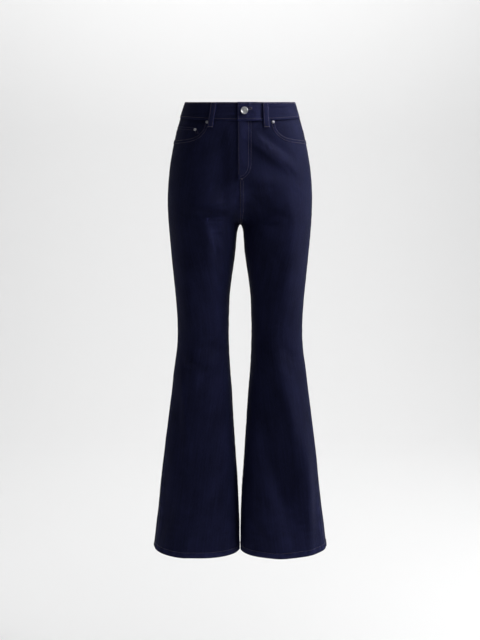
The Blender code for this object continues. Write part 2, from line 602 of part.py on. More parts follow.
def build_back_pocket(side, name, finish):
    """Patch pocket on the back panel: straight sides that come in a little, and a pointed foot."""
    down = np.linspace(0.0, 1.0, 8)[:, None]
    across = np.linspace(-1.0, 1.0, 11)[None, :]
    point = POCKET_POINT * (1.0 - np.abs(across))
    drop = down * (POCKET_SIDE + point)
    half = POCKET_WIDTH / 2 - POCKET_TAPER * np.clip(drop / POCKET_SIDE, 0.0, 1.0)
    level = POCKET_TOP - drop
    along = -POCKET_CENTRE - across * half
    points = np.empty(level.shape + (3,))
    normals = np.empty(level.shape + (3,))
    step = 0.0010
    for column in range(level.shape[1]):
        heights = level[:, column]
        place = along[:, column][:, None]
        at = [walk(heights + lift, place + shift)[:, 0] for lift, shift in
              ((0.0, 0.0), (0.0, step), (0.0, -step), (step, 0.0), (-step, 0.0))]
        points[:, column] = np.concatenate([at[0], heights[:, None]], axis=1)
        run = np.concatenate([at[1] - at[2], np.zeros((len(heights), 1))], axis=1)
        rise = np.concatenate([at[3] - at[4], np.full((len(heights), 1), 2 * step)], axis=1)
        normals[:, column] = np.cross(rise, run)
    normals /= np.linalg.norm(normals, axis=2, keepdims=True)
    flip = np.array([side, 1.0, 1.0])
    face, lining = points + normals * (LYING_GAP + DENIM), points + normals * LYING_GAP
    slab("back_pocket_" + name, face * flip, lining * flip, finish)


Turn = namedtuple("Turn", "radius rise")


def build_button(finish):
    """Shank button: a short shank, a flat cap with a rolled rim and a shallow dish in its face."""
    profile = (Turn(0.0045, 0.0000), Turn(0.0045, 0.0014), Turn(0.0074, 0.0019), Turn(BUTTON_RADIUS, 0.0026),
               Turn(BUTTON_RADIUS, 0.0033), Turn(0.0079, 0.0040), Turn(0.0068, 0.0043), Turn(0.0058, 0.0040),
               Turn(0.0030, 0.0039))
    x, z = np.array([BUTTON_X]), np.array([BUTTON_Z])
    angle = band_angle(x)
    lift = BAND_PROUD + BAND_WALL + SEAM_GAP + SEAM_GAP + 0.0002
    seat = on_waist(angle, z, np.array([lift]))[0]
    root = on_waist(angle, z, np.array([0.0]))[0]
    turned("button", profile, seat, seat - root, finish)


def build_rivet(name, finish, x, z, base):
    """Rivet: a low cap with a nub in the middle."""
    profile = (Turn(RIVET_RADIUS, 0.0000), Turn(RIVET_RADIUS, 0.0006), Turn(RIVET_RADIUS * 0.8, 0.0011),
               Turn(RIVET_RADIUS * 0.45, 0.0012), Turn(RIVET_RADIUS * 0.35, 0.0018))
    seat = on_front(np.array([x]), np.array([z]), base)[0]
    root = on_front(np.array([x]), np.array([z]), base - 0.002)[0]
    turned(name, profile, seat, seat - root, finish, sides=16)


def build():
    """Makes the whole pair of jeans."""
    for old in list(bpy.data.objects):
        bpy.data.objects.remove(old, do_unlink=True)
    denim = material("denim", (0.012, 0.014, 0.036), 0.85)
    silver = material("silver_metal", (0.70, 0.70, 0.72), 0.30, 1.0)
    tape = material("zip_tape", (0.010, 0.011, 0.026), 0.80)

    for side, name in ((+1, "left"), (-1, "right")):
        form, top = build_front(side, name, denim)
        build_facing(side, name, denim, form, top)
        if side < 0:
            build_coin_pocket(denim, form, top)
        build_back(side, name, denim)
        build_back_pocket(side, name, denim)
        build_band(side, name, denim, TAB_END if side > 0 else -UNDERLAP)

    build_fly(denim)
    build_zip(tape)
    front_top, front_foot = band_angle(0.0590), band_angle(0.0665)
    rear = np.radians(118.0)
    for side, name in ((+1, "left"), (-1, "right")):
        build_loop("belt_loop_front_" + name, denim, side * front_top, side * front_foot, -0.0030)
        build_loop("belt_loop_rear_" + name, denim, side * rear, side * rear, 0.0010)
    build_loop("belt_loop_back", denim, np.pi, np.pi, 0.0020)
    build_button(silver)
    build_rivet("rivet_left", silver, 0.0775, -0.0290, LYING_GAP)
    build_rivet("rivet_right", silver, -0.0775, -0.0290, LYING_GAP)
    build_rivet("rivet_coin", silver, -0.1062, -0.0464, -FACING_STEP + SEAM_GAP + 0.0011 + LYING_GAP)


build()
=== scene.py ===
from collections import namedtuple

import bpy
import numpy as np
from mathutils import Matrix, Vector


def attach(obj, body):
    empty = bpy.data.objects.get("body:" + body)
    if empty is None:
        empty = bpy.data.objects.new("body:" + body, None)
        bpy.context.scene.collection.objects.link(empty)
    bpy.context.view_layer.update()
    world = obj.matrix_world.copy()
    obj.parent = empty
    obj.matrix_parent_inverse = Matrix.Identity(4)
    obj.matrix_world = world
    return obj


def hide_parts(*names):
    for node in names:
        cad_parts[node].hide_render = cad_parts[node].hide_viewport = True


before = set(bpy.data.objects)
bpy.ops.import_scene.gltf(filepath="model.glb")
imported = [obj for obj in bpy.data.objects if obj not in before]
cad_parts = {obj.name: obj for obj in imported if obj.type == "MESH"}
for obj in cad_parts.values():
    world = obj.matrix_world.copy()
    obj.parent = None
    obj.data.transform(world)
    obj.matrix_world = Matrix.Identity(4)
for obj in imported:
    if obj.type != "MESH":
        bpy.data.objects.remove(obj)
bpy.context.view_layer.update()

# ------------------------------------------------------------------------------ the form that is worn
# A pair of jeans that is worn, or filled out, takes a round form: rings for the two legs, which run
# together above the crotch. Metres, +Z up, front towards -Y, the wearer's left at +X, the origin halfway up
# the band.
CROTCH = -0.2760
RISE_FRONT = 0.095
RISE_BACK = 0.105
WEB_REACH = 0.015
PARTING = 0.045
CROWN_LOW = -0.330
CROWN_HIGH = -0.090
CROWN_APART = 0.0005
SEAM_LAP = 0.0005            # how far two pieces reach into each other at their seam
RING_POINTS = 700
HILLS = 61                  # values each way in a table of random hills
RING_SHIFTS = (-0.016, -0.008, 0.0, 0.008, 0.016)
FORM_PAST = 0.2             # the table runs on past both middles by this share of a half
FORM_STEP = 0.003

Ring = namedtuple("Ring", "height outer parted front back side web square outseam inseam")
RINGS = (
    Ring(0.04, 0.1245, 0, 0.089, 0.084, 0, 0, 2.3, 0, 0),
    Ring(0.02, 0.132, 0, 0.092, 0.087, 0, 0, 2.3, 0, 0),
    Ring(0, 0.139, 0, 0.095, 0.0905, 0, 0, 2.3, 0, 0),
    Ring(-0.02, 0.1446, 0, 0.0975, 0.094, 0.0002, 0, 2.3, 0, 0),
    Ring(-0.05, 0.1535, 0, 0.1005, 0.0985, 0.001, 0, 2.3, 0, 0),
    Ring(-0.095, 0.1631, 0, 0.103, 0.1055, 0.003, 0.0015, 2.32, 0, 0),
    Ring(-0.14, 0.1709, 0, 0.1038, 0.1125, 0.0055, 0.006, 2.34, 0, 0),
    Ring(-0.19, 0.1753, 0, 0.1028, 0.1185, 0.008, 0.009, 2.35, 0, 0),
    Ring(-0.24, 0.1757, 0, 0.0998, 0.1195, 0.009, 0.01, 2.33, 0, 0),
    Ring(-0.29, 0.1729, 0.0024, 0.0952, 0.11, 0.008, 0.01, 2.28, 0, 0),
    Ring(-0.34, 0.1684, 0.0088, 0.0898, 0.0955, 0.005, 0.006, 2.22, 0, 0),
    Ring(-0.4, 0.1625, 0.0192, 0.0826, 0.0805, 0.001, 0.0022, 2.18, 0, 0),
    Ring(-0.46, 0.1564, 0.026, 0.0745, 0.0692, -0.002, 0.0004, 2.15, 0.0015, 0),
    Ring(-0.5, 0.1537, 0.0274, 0.0694, 0.0645, -0.0025, 0, 2.15, 0.003, 0),
    Ring(-0.53, 0.153, 0.0282, 0.0666, 0.0626, -0.002, 0, 2.15, 0.0042, 0),
    Ring(-0.56, 0.1538, 0.028, 0.0655, 0.0625, -0.0014, 0, 2.15, 0.0058, 0),
    Ring(-0.59, 0.1564, 0.027, 0.0655, 0.0635, -0.001, 0, 2.15, 0.0085, 0.001),
    Ring(-0.63, 0.1625, 0.0248, 0.0665, 0.0656, -0.0005, 0, 2.14, 0.013, 0.003),
    Ring(-0.68, 0.1687, 0.021, 0.0678, 0.0684, 0.0002, 0, 2.13, 0.0175, 0.006),
    Ring(-0.76, 0.1789, 0.0165, 0.0692, 0.0722, 0.0015, 0, 2.12, 0.0215, 0.01),
    Ring(-0.86, 0.1912, 0.0098, 0.0705, 0.0765, 0.003, 0, 2.12, 0.025, 0.0145),
    Ring(-0.96, 0.2038, 0.0037, 0.0718, 0.0802, 0.0042, 0, 2.12, 0.0275, 0.018),
    Ring(-1.02, 0.211, 0.0012, 0.0724, 0.0822, 0.0049, 0, 2.12, 0.029, 0.0195),
    Ring(-1.06, 0.2157, 0.0009, 0.0728, 0.0833, 0.0052, 0, 2.12, 0.03, 0.0205),
    Ring(-1.11, 0.2215, 0.0009, 0.0734, 0.0845, 0.0056, 0, 2.12, 0.031, 0.0215),
)


def ease(t):
    """0 up to t = 0, 1 from t = 1 on, and 3 t^2 - 2 t^3 between."""
    t = np.clip(t, 0.0, 1.0)
    return t ** 2 * (3.0 - 2.0 * t)


def through(at, x, v):
    """Cubic through points (x, v), read at other places. Its slopes run from neighbour to neighbour."""
    slope = np.gradient(v, x)
    k = np.clip(np.searchsorted(x, at) - 1, 0, len(x) - 2)
    span = x[k + 1] - x[k]
    t = (at - x[k]) / span
    return ((2 * t ** 3 - 3 * t ** 2 + 1) * v[k] + (t ** 3 - 2 * t ** 2 + t) * span * slope[k]
            + (3 * t ** 2 - 2 * t ** 3) * v[k + 1] + (t ** 3 - t ** 2) * span * slope[k + 1])


def ring_value(name, height):
    """One column of RINGS at any height: a cubic through the rows, averaged over 16 mm up and down."""
    rings = RINGS
    if name == "parted":
        rings = [ring for ring in RINGS if ring.height < CROTCH] + [Ring(CROTCH, *[0.0] * 9)]
    order = np.argsort([ring.height for ring in rings])
    z = np.array([ring.height for ring in rings])[order]
    v = np.array([getattr(ring, name) for ring in rings])[order]
    if name == "parted":
        return np.where(height < CROTCH, through(np.clip(height, z[0], z[-1]), z, v), 0.0)
    shifted = [through(np.clip(height + shift, z[0], z[-1]), z, v) for shift in RING_SHIFTS]
    return sum(shifted) / len(shifted)


def half_ring(height, front):
    """Front or back half of a leg's ring at each height, from its outer side to its middle.

    Two superellipse quarters meet at the crown, the ring's deepest line: one reaches the outer side, one the
    middle. Above the crotch the inner one is cut short by cut < 1, so it ends at
    depth (1 - cut^n)^(1/n), and those ends trace the seat seam. Just below the crotch only the inner side
    stands at the gap between the legs. The web rounds the seam and the gap's top: x becomes
    sqrt(x^2 + 2 web x exp(-x / reach)).
    """
    height = np.asarray(height, float)[:, None]
    outer = ring_value("outer", height)
    gap = ring_value("parted", height)
    parted = gap * ease((CROTCH - height) / PARTING)
    side = ring_value("side", height)
    square = ring_value("square", height)
    depth = ring_value("front", height) + side if front else ring_value("back", height) - side
    together = ease(ease((height - CROWN_LOW) / (CROWN_HIGH - CROWN_LOW)))
    crown = outer / 2 * (1.0 - together) + parted / 2 + CROWN_APART
    rise = np.clip((height - CROTCH) / (RISE_FRONT if front else RISE_BACK), 0.0, 1.0)
    cut = 0.5 + 0.5 * np.cos(np.pi * rise)
    t = np.linspace(0.0, 1.0, RING_POINTS)[None, :]
    u = np.pi * (1.0 - t) ** 1.7
    w = np.abs(np.cos(u)) ** (2.0 / square)
    outside = u > np.pi / 2
    x = crown + np.where(outside, (outer - crown) * w, (parted - crown) * w + (gap - parted) * w ** 3)
    x = np.maximum(x, 0.0)
    reach = (1.0 - (np.where(outside, 1.0, cut) * w) ** square) ** (1.0 / square)
    y = side + (-1.0 if front else 1.0) * depth * reach
    web = np.maximum(ring_value("web", height), 0.0)
    x = np.sqrt(x ** 2 + 2 * web * x * np.exp(-x / WEB_REACH))
    return np.stack([x, y], axis=-1)


LegForm = namedtuple("LegForm", "height front back points normals")
FORM_COLUMNS = 150          # table columns round each half of a leg


def leg_form():
    """Table of the left leg's cloth: points and outward normals on rings close together in height.

    Columns run from the back's middle (-1) over the outer side (0) to the front's middle (+1), as shares of
    each half's length, and a fifth past both ends: to the leg's other half, or above the crotch to the
    mirrored side. Normals are the cross product of the ring's direction and the drop from ring to ring.
    """
    above = CROTCH + 0.315 * np.linspace(1.0, 0.0, 150) ** 1.7
    below = CROTCH - 0.09 * np.linspace(0.0, 1.0, 50)[1:] ** 1.6
    height = np.concatenate([above, below, np.arange(below[-1] - FORM_STEP, RINGS[-1].height, -FORM_STEP)])
    front, back = half_ring(height, True), half_ring(height, False)
    mirror = np.array([-1.0, 1.0])
    whole = (height > CROTCH)[:, None, None]
    near = RING_POINTS * 9 // 10
    past_front = np.where(whole, front[:, ::-1] * mirror, back[:, ::-1])[:, 1:near]
    past_back = np.where(whole, back[:, ::-1] * mirror, front[:, ::-1])[:, 1:near][:, ::-1]
    line = np.concatenate([past_back, back[:, ::-1], front[:, 1:], past_front], axis=1)
    run = np.cumsum(np.linalg.norm(np.diff(line, axis=1, prepend=line[:, :1]), axis=2), axis=1)
    run -= run[:, near - 1 + RING_POINTS - 1][:, None]
    length_front = np.linalg.norm(np.diff(front, axis=1), axis=2).sum(axis=1)
    length_back = np.linalg.norm(np.diff(back, axis=1), axis=2).sum(axis=1)
    share = np.arange(-1.0 - FORM_PAST, 1.0 + FORM_PAST + 0.5 / FORM_COLUMNS, 1.0 / FORM_COLUMNS)
    along = share[None, :] * np.where(share[None, :] > 0, length_front[:, None], length_back[:, None])
    points = np.stack([[np.interp(along[k], run[k], line[k, :, axis]) for axis in range(2)]
                       for k in range(len(height))]).transpose(0, 2, 1)
    points = np.concatenate([points, np.broadcast_to(height[:, None, None], points.shape[:2] + (1,))], axis=2)
    direction = np.gradient(points, axis=1)
    drop = np.gradient(points, axis=0)
    normals = np.cross(direction, drop)
    normals /= np.maximum(np.linalg.norm(normals, axis=2, keepdims=True), 1e-12)
    return LegForm(height[::-1], length_front[::-1], length_back[::-1], points[::-1], normals[::-1])


LEG = leg_form()


def half_length(height, front):
    """Length of a half ring at any height."""
    return np.interp(height, LEG.height, LEG.front if front else LEG.back)


def on_ring(share, height):
    """Points and normals of the left leg's cloth, bilinear in the table. share is 0 at the outer side, 1 at
    the front's middle and -1 at the back's middle."""
    share, height = np.broadcast_arrays(np.asarray(share, float), np.asarray(height, float))
    row = np.clip(np.interp(height, LEG.height, np.arange(len(LEG.height))), 0, len(LEG.height) - 1.001)
    column = np.clip((share + 1.0 + FORM_PAST) * FORM_COLUMNS, 0, LEG.points.shape[1] - 1.001)
    i, j = row.astype(int), column.astype(int)
    s, t = (row - i)[..., None], (column - j)[..., None]
    found = []
    for table in (LEG.points, LEG.normals):
        found.append((table[i, j] * (1 - t) + table[i, j + 1] * t) * (1 - s)
                     + (table[i + 1, j] * (1 - t) + table[i + 1, j + 1] * t) * s)
    points, normals = found
    return points, normals / np.linalg.norm(normals, axis=-1, keepdims=True)


def on_leg(along, height):
    """Points and normals at a way round the ring in metres, from the outer side, positive to the front."""
    along = np.asarray(along, float)
    return on_ring(along / np.where(along > 0, half_length(height, True), half_length(height, False)), height)


def lifted(side, along, height, lift):
    """Points and normals of the worn form at places on it, moved out by lift. Side -1 mirrors them."""
    points, normals = on_leg(along, height)
    flip = np.array([side, 1.0, 1.0])
    return (points + normals * np.asarray(lift)[..., None]) * flip, normals * flip


def place_of_x(x, height):
    """Way round the ring at which its front reaches a distance x from the middle, by repeated correction."""
    along = half_length(height, True) - x
    for _ in range(40):
        along = along + on_leg(along, height)[0][..., 0] - x
    return along


def hills(u, v, seed):
    """Smooth random hills between -1 and 1, one to each unit square: seeded values, eased between."""
    table = np.random.default_rng(seed).uniform(-1.0, 1.0, (HILLS, HILLS))
    i, j = np.floor(u).astype(int), np.floor(v).astype(int)
    s, t = ease(u - i), ease(v - j)
    i, j = i % HILLS, j % HILLS
    right, up = (i + 1) % HILLS, (j + 1) % HILLS
    low = table[i, j] * (1 - s) + table[right, j] * s
    high = table[i, up] * (1 - s) + table[right, up] * s
    return low * (1 - t) + high * t


def bell(off, width):
    """1 where off is 0, dying out over a width: exp(-(off / width)^2)."""
    return np.exp(-(off / width) ** 2)


# ------------------------------------------------------------------------------ front and back leg panels
# Four panels of dark indigo stretch denim, 1.4 mm thick, cut on the straight grain and sewn at outseams,
# inseams and the seat seam, which is felled. Each ends in a turned hem, 16 mm tall, whose sewing makes it
# pucker.
DENIM = 0.0014
HEM_MIDDLE = -1.0920        # height of the hem's edge at the inner sides
HEM_LOW = -1.094
HEM_CLIMB = 0.0229
HEM_DROP = 0.0042
HEM_DEEP = 0.078
HEM_HEIGHT = 0.0160
HEM_WALL = 0.0030
TOP_LEVEL = -0.1000         # the panels' rows are level from here down
BAND_TOP = 0.0200
BAND_SLOPE = 0.030
BAND_HEIGHT = 0.0380
BAND_DIP = 0.0086
BAND_HALF = 0.144
YOKE_SIDE = -0.0560
YOKE_CENTRE = -0.0960
FELL = 0.0092               # width of a felled seam
TUCK = 0.0030               # how far a panel runs on under the band or the yoke
SCOOP_FOLD = 0.0092         # turned edge of the pocket opening
FLY_EDGE = -0.0047
FLY_WIDTH = 0.0275
FLY_STRAIGHT = -0.1260
FLY_END = -0.1640

Scoop = namedtuple("Scoop", "x height")
SCOOP = (
    Scoop(0.0800, -0.0200),
    Scoop(0.0820, -0.0310),
    Scoop(0.0880, -0.0478),
    Scoop(0.0940, -0.0548),
    Scoop(0.1004, -0.0600),
    Scoop(0.1080, -0.0640),
    Scoop(0.1180, -0.0668),
    Scoop(0.1360, -0.0694),
    Scoop(0.1700, -0.0724),
)

HEM_FLARE = {+1: 0.0070, -1: 0.0050}
FLARE_Z = -1.120
FLARE_REACH = 0.090
SLACK = 0.0007              # slow unevenness of the cloth between its seams
SLACK_FINE = 0.00030


def in_metres(kind, rows, plain=0):
    """Rows of a table in millimetres, apart from their first plain columns, as named rows in metres."""
    return [kind(*row[:plain], *(value / 1000 for value in row[plain:])) for row in rows]


# Main folds, much as in the frame, in mm: a straight crease with a bell across it. Side +1 is the wearer's
# left, and 0 is both.
Fold = namedtuple("Fold", "side x_from z_from x_to z_to half_width height")
FRONT_FOLDS = in_metres(Fold, (
    (+1, 26, -72, 88, -110, 10, 2),
    (+1, 76, -102, 148, -158, 11, 2),
    (+1, 60, -252, 128, -246, 10, -2.2),
    (+1, 50, -262, 120, -262, 10, 1.6),
    (-1, 24, -236, 104, -248, 10, -2.4),
    (-1, 30, -222, 96, -232, 11, 1.8),
    (-1, 75, -300, 44, -374, 10, -3.4),
    (-1, 58, -296, 32, -370, 9, 2),
    (-1, 60, -585, 118, -640, 15, 2.6),
    (-1, 40, -545, 110, -590, 13, -2),
    (+1, 78, -600, 130, -660, 15, 2.6),
    (+1, 92, -560, 146, -612, 13, -2.4),
    (-1, 150, -700, 158, -930, 20, 1.2),
), 1)
BACK_FOLDS = in_metres(Fold, (
    (0, 40, -292, 138, -268, 11, -2.6),
    (0, 46, -316, 140, -300, 12, 2),
    (0, 50, -344, 132, -332, 11, -1.8),
    (+1, 46, -540, 128, -520, 11, -2.4),
    (-1, 50, -548, 132, -532, 12, -2.2),
    (0, 50, -580, 136, -566, 13, 2),
    (+1, 100, -700, 120, -940, 20, -3),
    (-1, 110, -720, 100, -960, 22, -2.8),
), 1)

# Creases, in mm: a curve from one end over its bend to the other. The broad ones come first, and below them
# the fine ones. height < 0 is a trough.
Crease = namedtuple("Crease", "side x_from z_from x_bend z_bend x_to z_to half_width height")
FRONT_CREASES = in_metres(Crease, (
    (+1, 28, -560, 76, -842, 154, -1120, 25, -12),
    (+1, 84, -540, 133, -796, 180, -1080, 24, 10.8),
    (+1, 72, -430, 88, -640, 142, -840, 18, 6),
    (+1, 34, -800, 36, -930, 34, -1120, 15, 4),
    (+1, 152, -800, 166, -940, 178, -1110, 10, 3.6),
    (+1, 140, -190, 116, -380, 86, -560, 19, 3.4),
    (+1, 150, -770, 155, -850, 150, -930, 17, 4.5),
    (+1, 100, -850, 130, -930, 165, -1010, 17, -4.2),
    (+1, 50, -790, 105, -930, 165, -1070, 25, -7.2),
    (+1, 10, -880, 72, -1030, 126, -1150, 26, 8.5),
    (+1, 195, -860, 195, -1010, 200, -1160, 22, -6),
    (+1, 46, -190, 46, -430, 48, -720, 27, -8.5),
    (+1, 2, -172, 50, -170, 116, -176, 14, 3.4),
    (+1, -10, -256, 50, -258, 124, -252, 38, -16.5),
    (+1, 16, -58, 66, -103, 160, -160, 18, 6.6),
    (+1, 30, -36, 78, -78, 150, -124, 10, -2.6),
    (+1, 44, -62, 50, -74, 58, -90, 4.5, 1.2),
    (+1, 59, -74, 64, -86, 72, -102, 4.5, 1.2),
    (-1, 0, -226, 67, -230, 140, -224, 32, 12.5),
    (-1, 12, -246, 66, -250, 122, -248, 8, -3.4),
    (-1, 84, -240, 74, -310, 46, -410, 19, 6.6),
    (-1, 82, -266, 67, -315, 44, -366, 7, 2.2),
    (-1, 110, -440, 104, -520, 90, -600, 20, 3),
    (-1, 84, -660, 76, -850, 70, -1060, 22, 4.2),
    (-1, 30, -584, 70, -573, 116, -573, 10, -2.4),
    (-1, 40, -620, 92, -606, 142, -600, 20, 8.6),
    (-1, 48, -20, 44, -130, 40, -270, 25, -5.6),
    (-1, 124, -340, 122, -450, 122, -570, 18, 4.6),
    (-1, 36, -240, 42, -390, 42, -560, 19, -4.8),
    (-1, 105, -565, 108, -650, 110, -740, 17, 4.8),
    (-1, 140, -870, 190, -1010, 240, -1150, 25, -6),
    (-1, 75, -910, 130, -1050, 185, -1190, 25, 6),
    (-1, 146, -590, 136, -700, 118, -900, 6, 2),
    (-1, 164, -640, 152, -760, 145, -940, 13, -3.6),
    (+1, 34, -78, 60, -92, 82, -112, 4, -0.9),
    (+1, 40, -70, 62, -80, 94, -106, 3.6, 0.8),
    (+1, 88, -126, 112, -138, 132, -168, 4.5, -1),
    (+1, 120, -180, 142, -190, 158, -214, 6, 0.9),
    (+1, 10, -196, 40, -214, 62, -246, 5, -1),
    (+1, 6, -214, 34, -234, 50, -262, 4.2, 0.9),
    (+1, 28, -268, 62, -274, 104, -264, 4, -1.2),
    (+1, 16, -282, 44, -300, 70, -330, 5, -1.2),
    (+1, 22, -300, 40, -330, 50, -372, 6, 1.2),
    (+1, 50, -316, 84, -352, 94, -410, 9, -1.2),
    (+1, 60, -500, 92, -516, 130, -508, 5.5, -0.9),
    (+1, 42, -556, 64, -572, 96, -570, 5, -1.2),
    (+1, 40, -570, 66, -590, 100, -592, 5.5, 1),
    (+1, 110, -596, 130, -606, 150, -600, 4.5, -1),
    (+1, 36, -610, 62, -636, 74, -676, 6.5, -1.2),
    (+1, 110, -676, 124, -740, 122, -810, 9, 1.6),
    (+1, 150, -800, 166, -900, 170, -1000, 8, 1.4),
    (+1, 40, -820, 46, -920, 40, -1040, 10, -1.4),
    (-1, 12, -198, 36, -216, 70, -222, 4.5, 0.9),
    (-1, 10, -250, 50, -262, 92, -256, 4, -1.3),
    (-1, 14, -270, 44, -288, 80, -286, 4.5, 1),
    (-1, 20, -288, 44, -312, 62, -350, 5, -1.2),
    (-1, 96, -100, 126, -116, 146, -150, 6, 0.8),
    (-1, 30, -120, 60, -140, 104, -150, 9, 0.7),
    (-1, 36, -520, 60, -540, 92, -536, 5, -1),
    (-1, 28, -548, 48, -560, 70, -556, 3.8, -1.4),
    (-1, 30, -558, 52, -574, 84, -572, 4.5, 1.2),
    (-1, 90, -560, 118, -570, 148, -560, 5.5, 0.9),
    (-1, 100, -612, 126, -622, 150, -612, 5, -1),
    (-1, 36, -596, 60, -616, 80, -652, 6, -1.2),
    (-1, 70, -700, 78, -800, 68, -900, 11, -1.4),
    (-1, 112, -760, 118, -900, 132, -1040, 12, -1.6),
    (-1, 180, -880, 190, -960, 194, -1050, 8, -1.2),
), 1)
BACK_CREASES = in_metres(Crease, (
    (+1, 20, -246, 60, -268, 110, -262, 5, -1.4),
    (-1, 16, -252, 56, -276, 104, -276, 5, -1.4),
    (+1, 20, -296, 50, -306, 96, -292, 4.2, 1),
    (-1, 22, -306, 54, -320, 90, -310, 4.2, 1),
    (+1, 30, -352, 56, -372, 78, -420, 7, -1.2),
    (-1, 28, -360, 50, -384, 66, -430, 7, -1.2),
    (+1, 36, -498, 72, -508, 120, -492, 6, -1.2),
    (-1, 44, -506, 82, -518, 126, -506, 6, -1.2),
    (+1, 44, -556, 80, -560, 124, -546, 5, 1.4),
    (-1, 40, -566, 76, -576, 116, -560, 5, 1.4),
    (+1, 50, -600, 86, -612, 128, -604, 6, -1.4),
    (-1, 52, -612, 90, -620, 132, -606, 6, -1.4),
    (+1, 60, -660, 80, -760, 74, -880, 12, 1.8),
    (-1, 70, -690, 66, -800, 80, -900, 12, 1.8),
    (+1, 150, -760, 168, -880, 180, -1010, 11, -1.6),
    (-1, 140, -740, 164, -860, 170, -1000, 11, -1.6),
    (+1, 20, -180, 60, -190, 120, -170, 12, 0.8),
    (-1, 30, -190, 70, -200, 120, -184, 12, 0.8),
), 1)


def fold_lift(x, z, folds, side):
    """How far the main folds lift the cloth: a bell across each crease, fading towards its ends."""
    lift = np.zeros(x.shape)
    for fold in folds:
        if fold.side not in (0, side):
            continue
        run = np.array([fold.x_to - fold.x_from, fold.z_to - fold.z_from])
        reach = np.hypot(*run)
        off_x, off_z = x - fold.x_from, z - fold.z_from
        down = (off_x * run[0] + off_z * run[1]) / reach ** 2
        across = (off_x * run[1] - off_z * run[0]) / reach
        fade = np.sin(np.pi * np.clip(down * 0.8 + 0.1, 0.0, 1.0)) ** 2
        lift += fold.height * fade * bell(across, fold.half_width)
    return lift


def crease_lift(x, z, creases, side):
    """How far the creases lift the cloth. Each is a parabola through its bend. Across it stands a bell that
    is steeper on one side, and along it a sine that fades to nothing at both ends."""
    lift = np.zeros(x.shape)
    t = np.linspace(0.0, 1.0, 17)
    for crease in creases:
        if crease.side not in (0, side):
            continue
        bend_x = 2 * crease.x_bend - (crease.x_from + crease.x_to) / 2
        bend_z = 2 * crease.z_bend - (crease.z_from + crease.z_to) / 2
        line_x = crease.x_from * (1 - t) ** 2 + 2 * bend_x * t * (1 - t) + crease.x_to * t ** 2
        line_z = crease.z_from * (1 - t) ** 2 + 2 * bend_z * t * (1 - t) + crease.z_to * t ** 2
        reach = 4 * crease.half_width
        close = ((x > line_x.min() - reach) & (x < line_x.max() + reach)
                 & (z > line_z.min() - reach) & (z < line_z.max() + reach))
        if not close.any():
            continue
        px, pz = x[close][:, None], z[close][:, None]
        run_x, run_z = np.diff(line_x), np.diff(line_z)
        down = ((px - line_x[:-1]) * run_x + (pz - line_z[:-1]) * run_z) / (run_x ** 2 + run_z ** 2)
        down = np.clip(down, 0, 1)
        off_x, off_z = px - line_x[:-1] - down * run_x, pz - line_z[:-1] - down * run_z
        k = np.argmin(off_x ** 2 + off_z ** 2, axis=1)
        off_x, off_z, down = (np.take_along_axis(a, k[:, None], 1)[:, 0] for a in (off_x, off_z, down))
        across = np.sign(off_x * run_z[k] - off_z * run_x[k]) * np.hypot(off_x, off_z) / crease.half_width
        share = (k + down) / (len(t) - 1)
        steep = np.where(across > 0, 1.35, 0.8)
        lift[close] += crease.height * np.sin(np.pi * share) ** 1.3 * bell(across * steep, 1.0)
    return lift


def hem_height(along, height):
    """Height of the hem's edge under a place on the leg: it climbs outwards, and hangs lower front and back
    by the square of how deep the place lies."""
    points, _ = on_leg(along, np.full(np.shape(along), HEM_MIDDLE))
    deep = np.clip(np.abs(points[..., 1]) / HEM_DEEP, 0.0, 1.0)
    return HEM_MIDDLE + HEM_CLIMB * points[..., 0] - HEM_DROP * deep ** 2


def edges(front, height):
    """Places round the ring of a panel's outseam edge and of its middle edge, at each height."""
    sign = 1.0 if front else -1.0
    outseam = ring_value("outseam", np.maximum(height, RINGS[-1].height))
    inseam = ring_value("inseam", np.maximum(height, RINGS[-1].height))
    outseam = np.where(height > RINGS[11].height, 0.0, outseam)
    inseam = np.where(height > RINGS[11].height, 0.0, inseam)
    return outseam - sign * SEAM_LAP / 2, sign * (half_length(height, front) + SEAM_LAP / 2) - inseam


def pucker(run, away, pitch, reach, seed):
    """Short waves along a seam, drawn up by its sewing, between -1 and 1, dying out away from it."""
    wave = hills(run / pitch, away / (pitch * 2.2) + 7.3, seed)
    return wave * bell(away, reach)


def band_foot(x, y):
    """Height of the waistband's lower seam: it climbs to the back and dips at the centre front."""
    low = BAND_TOP - BAND_HEIGHT + BAND_SLOPE * np.maximum(y, 0.0)
    return low - np.where(y < 0.0, BAND_DIP * np.clip(1.0 - (x / BAND_HALF) ** 2, 0.0, 1.0), 0.0)


def band_seam(along):
    """Heights of the seam under the waistband, for places round the leg's ring."""
    points, _ = on_leg(along, np.full(np.shape(along), -0.022))
    return band_foot(points[..., 0], points[..., 1])


def running(x, y):
    """Length along a line from its first point to each of its points."""
    return np.concatenate([[0.0], np.cumsum(np.hypot(np.diff(x), np.diff(y)))])


def scoop_line():
    """The pocket opening's edge in places round the ring and heights: a smooth curve through SCOOP's points,
    by their running length."""
    x, z = np.array([s.x for s in SCOOP]), np.array([s.height for s in SCOOP])
    run = running(x, z)
    fine = np.linspace(0.0, run[-1], 400)
    x, z = through(fine, run, x), through(fine, run, z)
    start = band_seam(place_of_x(SCOOP[0].x, -0.0225))
    keep = z <= start
    heights = np.concatenate([[start], z[keep]])
    places = place_of_x(np.concatenate([[x[keep][0]], x[keep]]), heights)
    inside = places > 0.0004
    return places[inside], heights[inside]


scoop_place, scoop_height = scoop_line()


def scoop_away(along, height):
    """Distance along the cloth from the edge of the pocket opening, or 1 well away from it."""
    away = np.ones(np.broadcast(along, height).shape)
    along, height = np.broadcast_arrays(along, height)
    close = (height > -0.095) & (along < scoop_place[0] + 0.02)
    off = np.hypot(along[close][:, None] - scoop_place, height[close][:, None] - scoop_height)
    away[close] = off.min(axis=1)
    return away


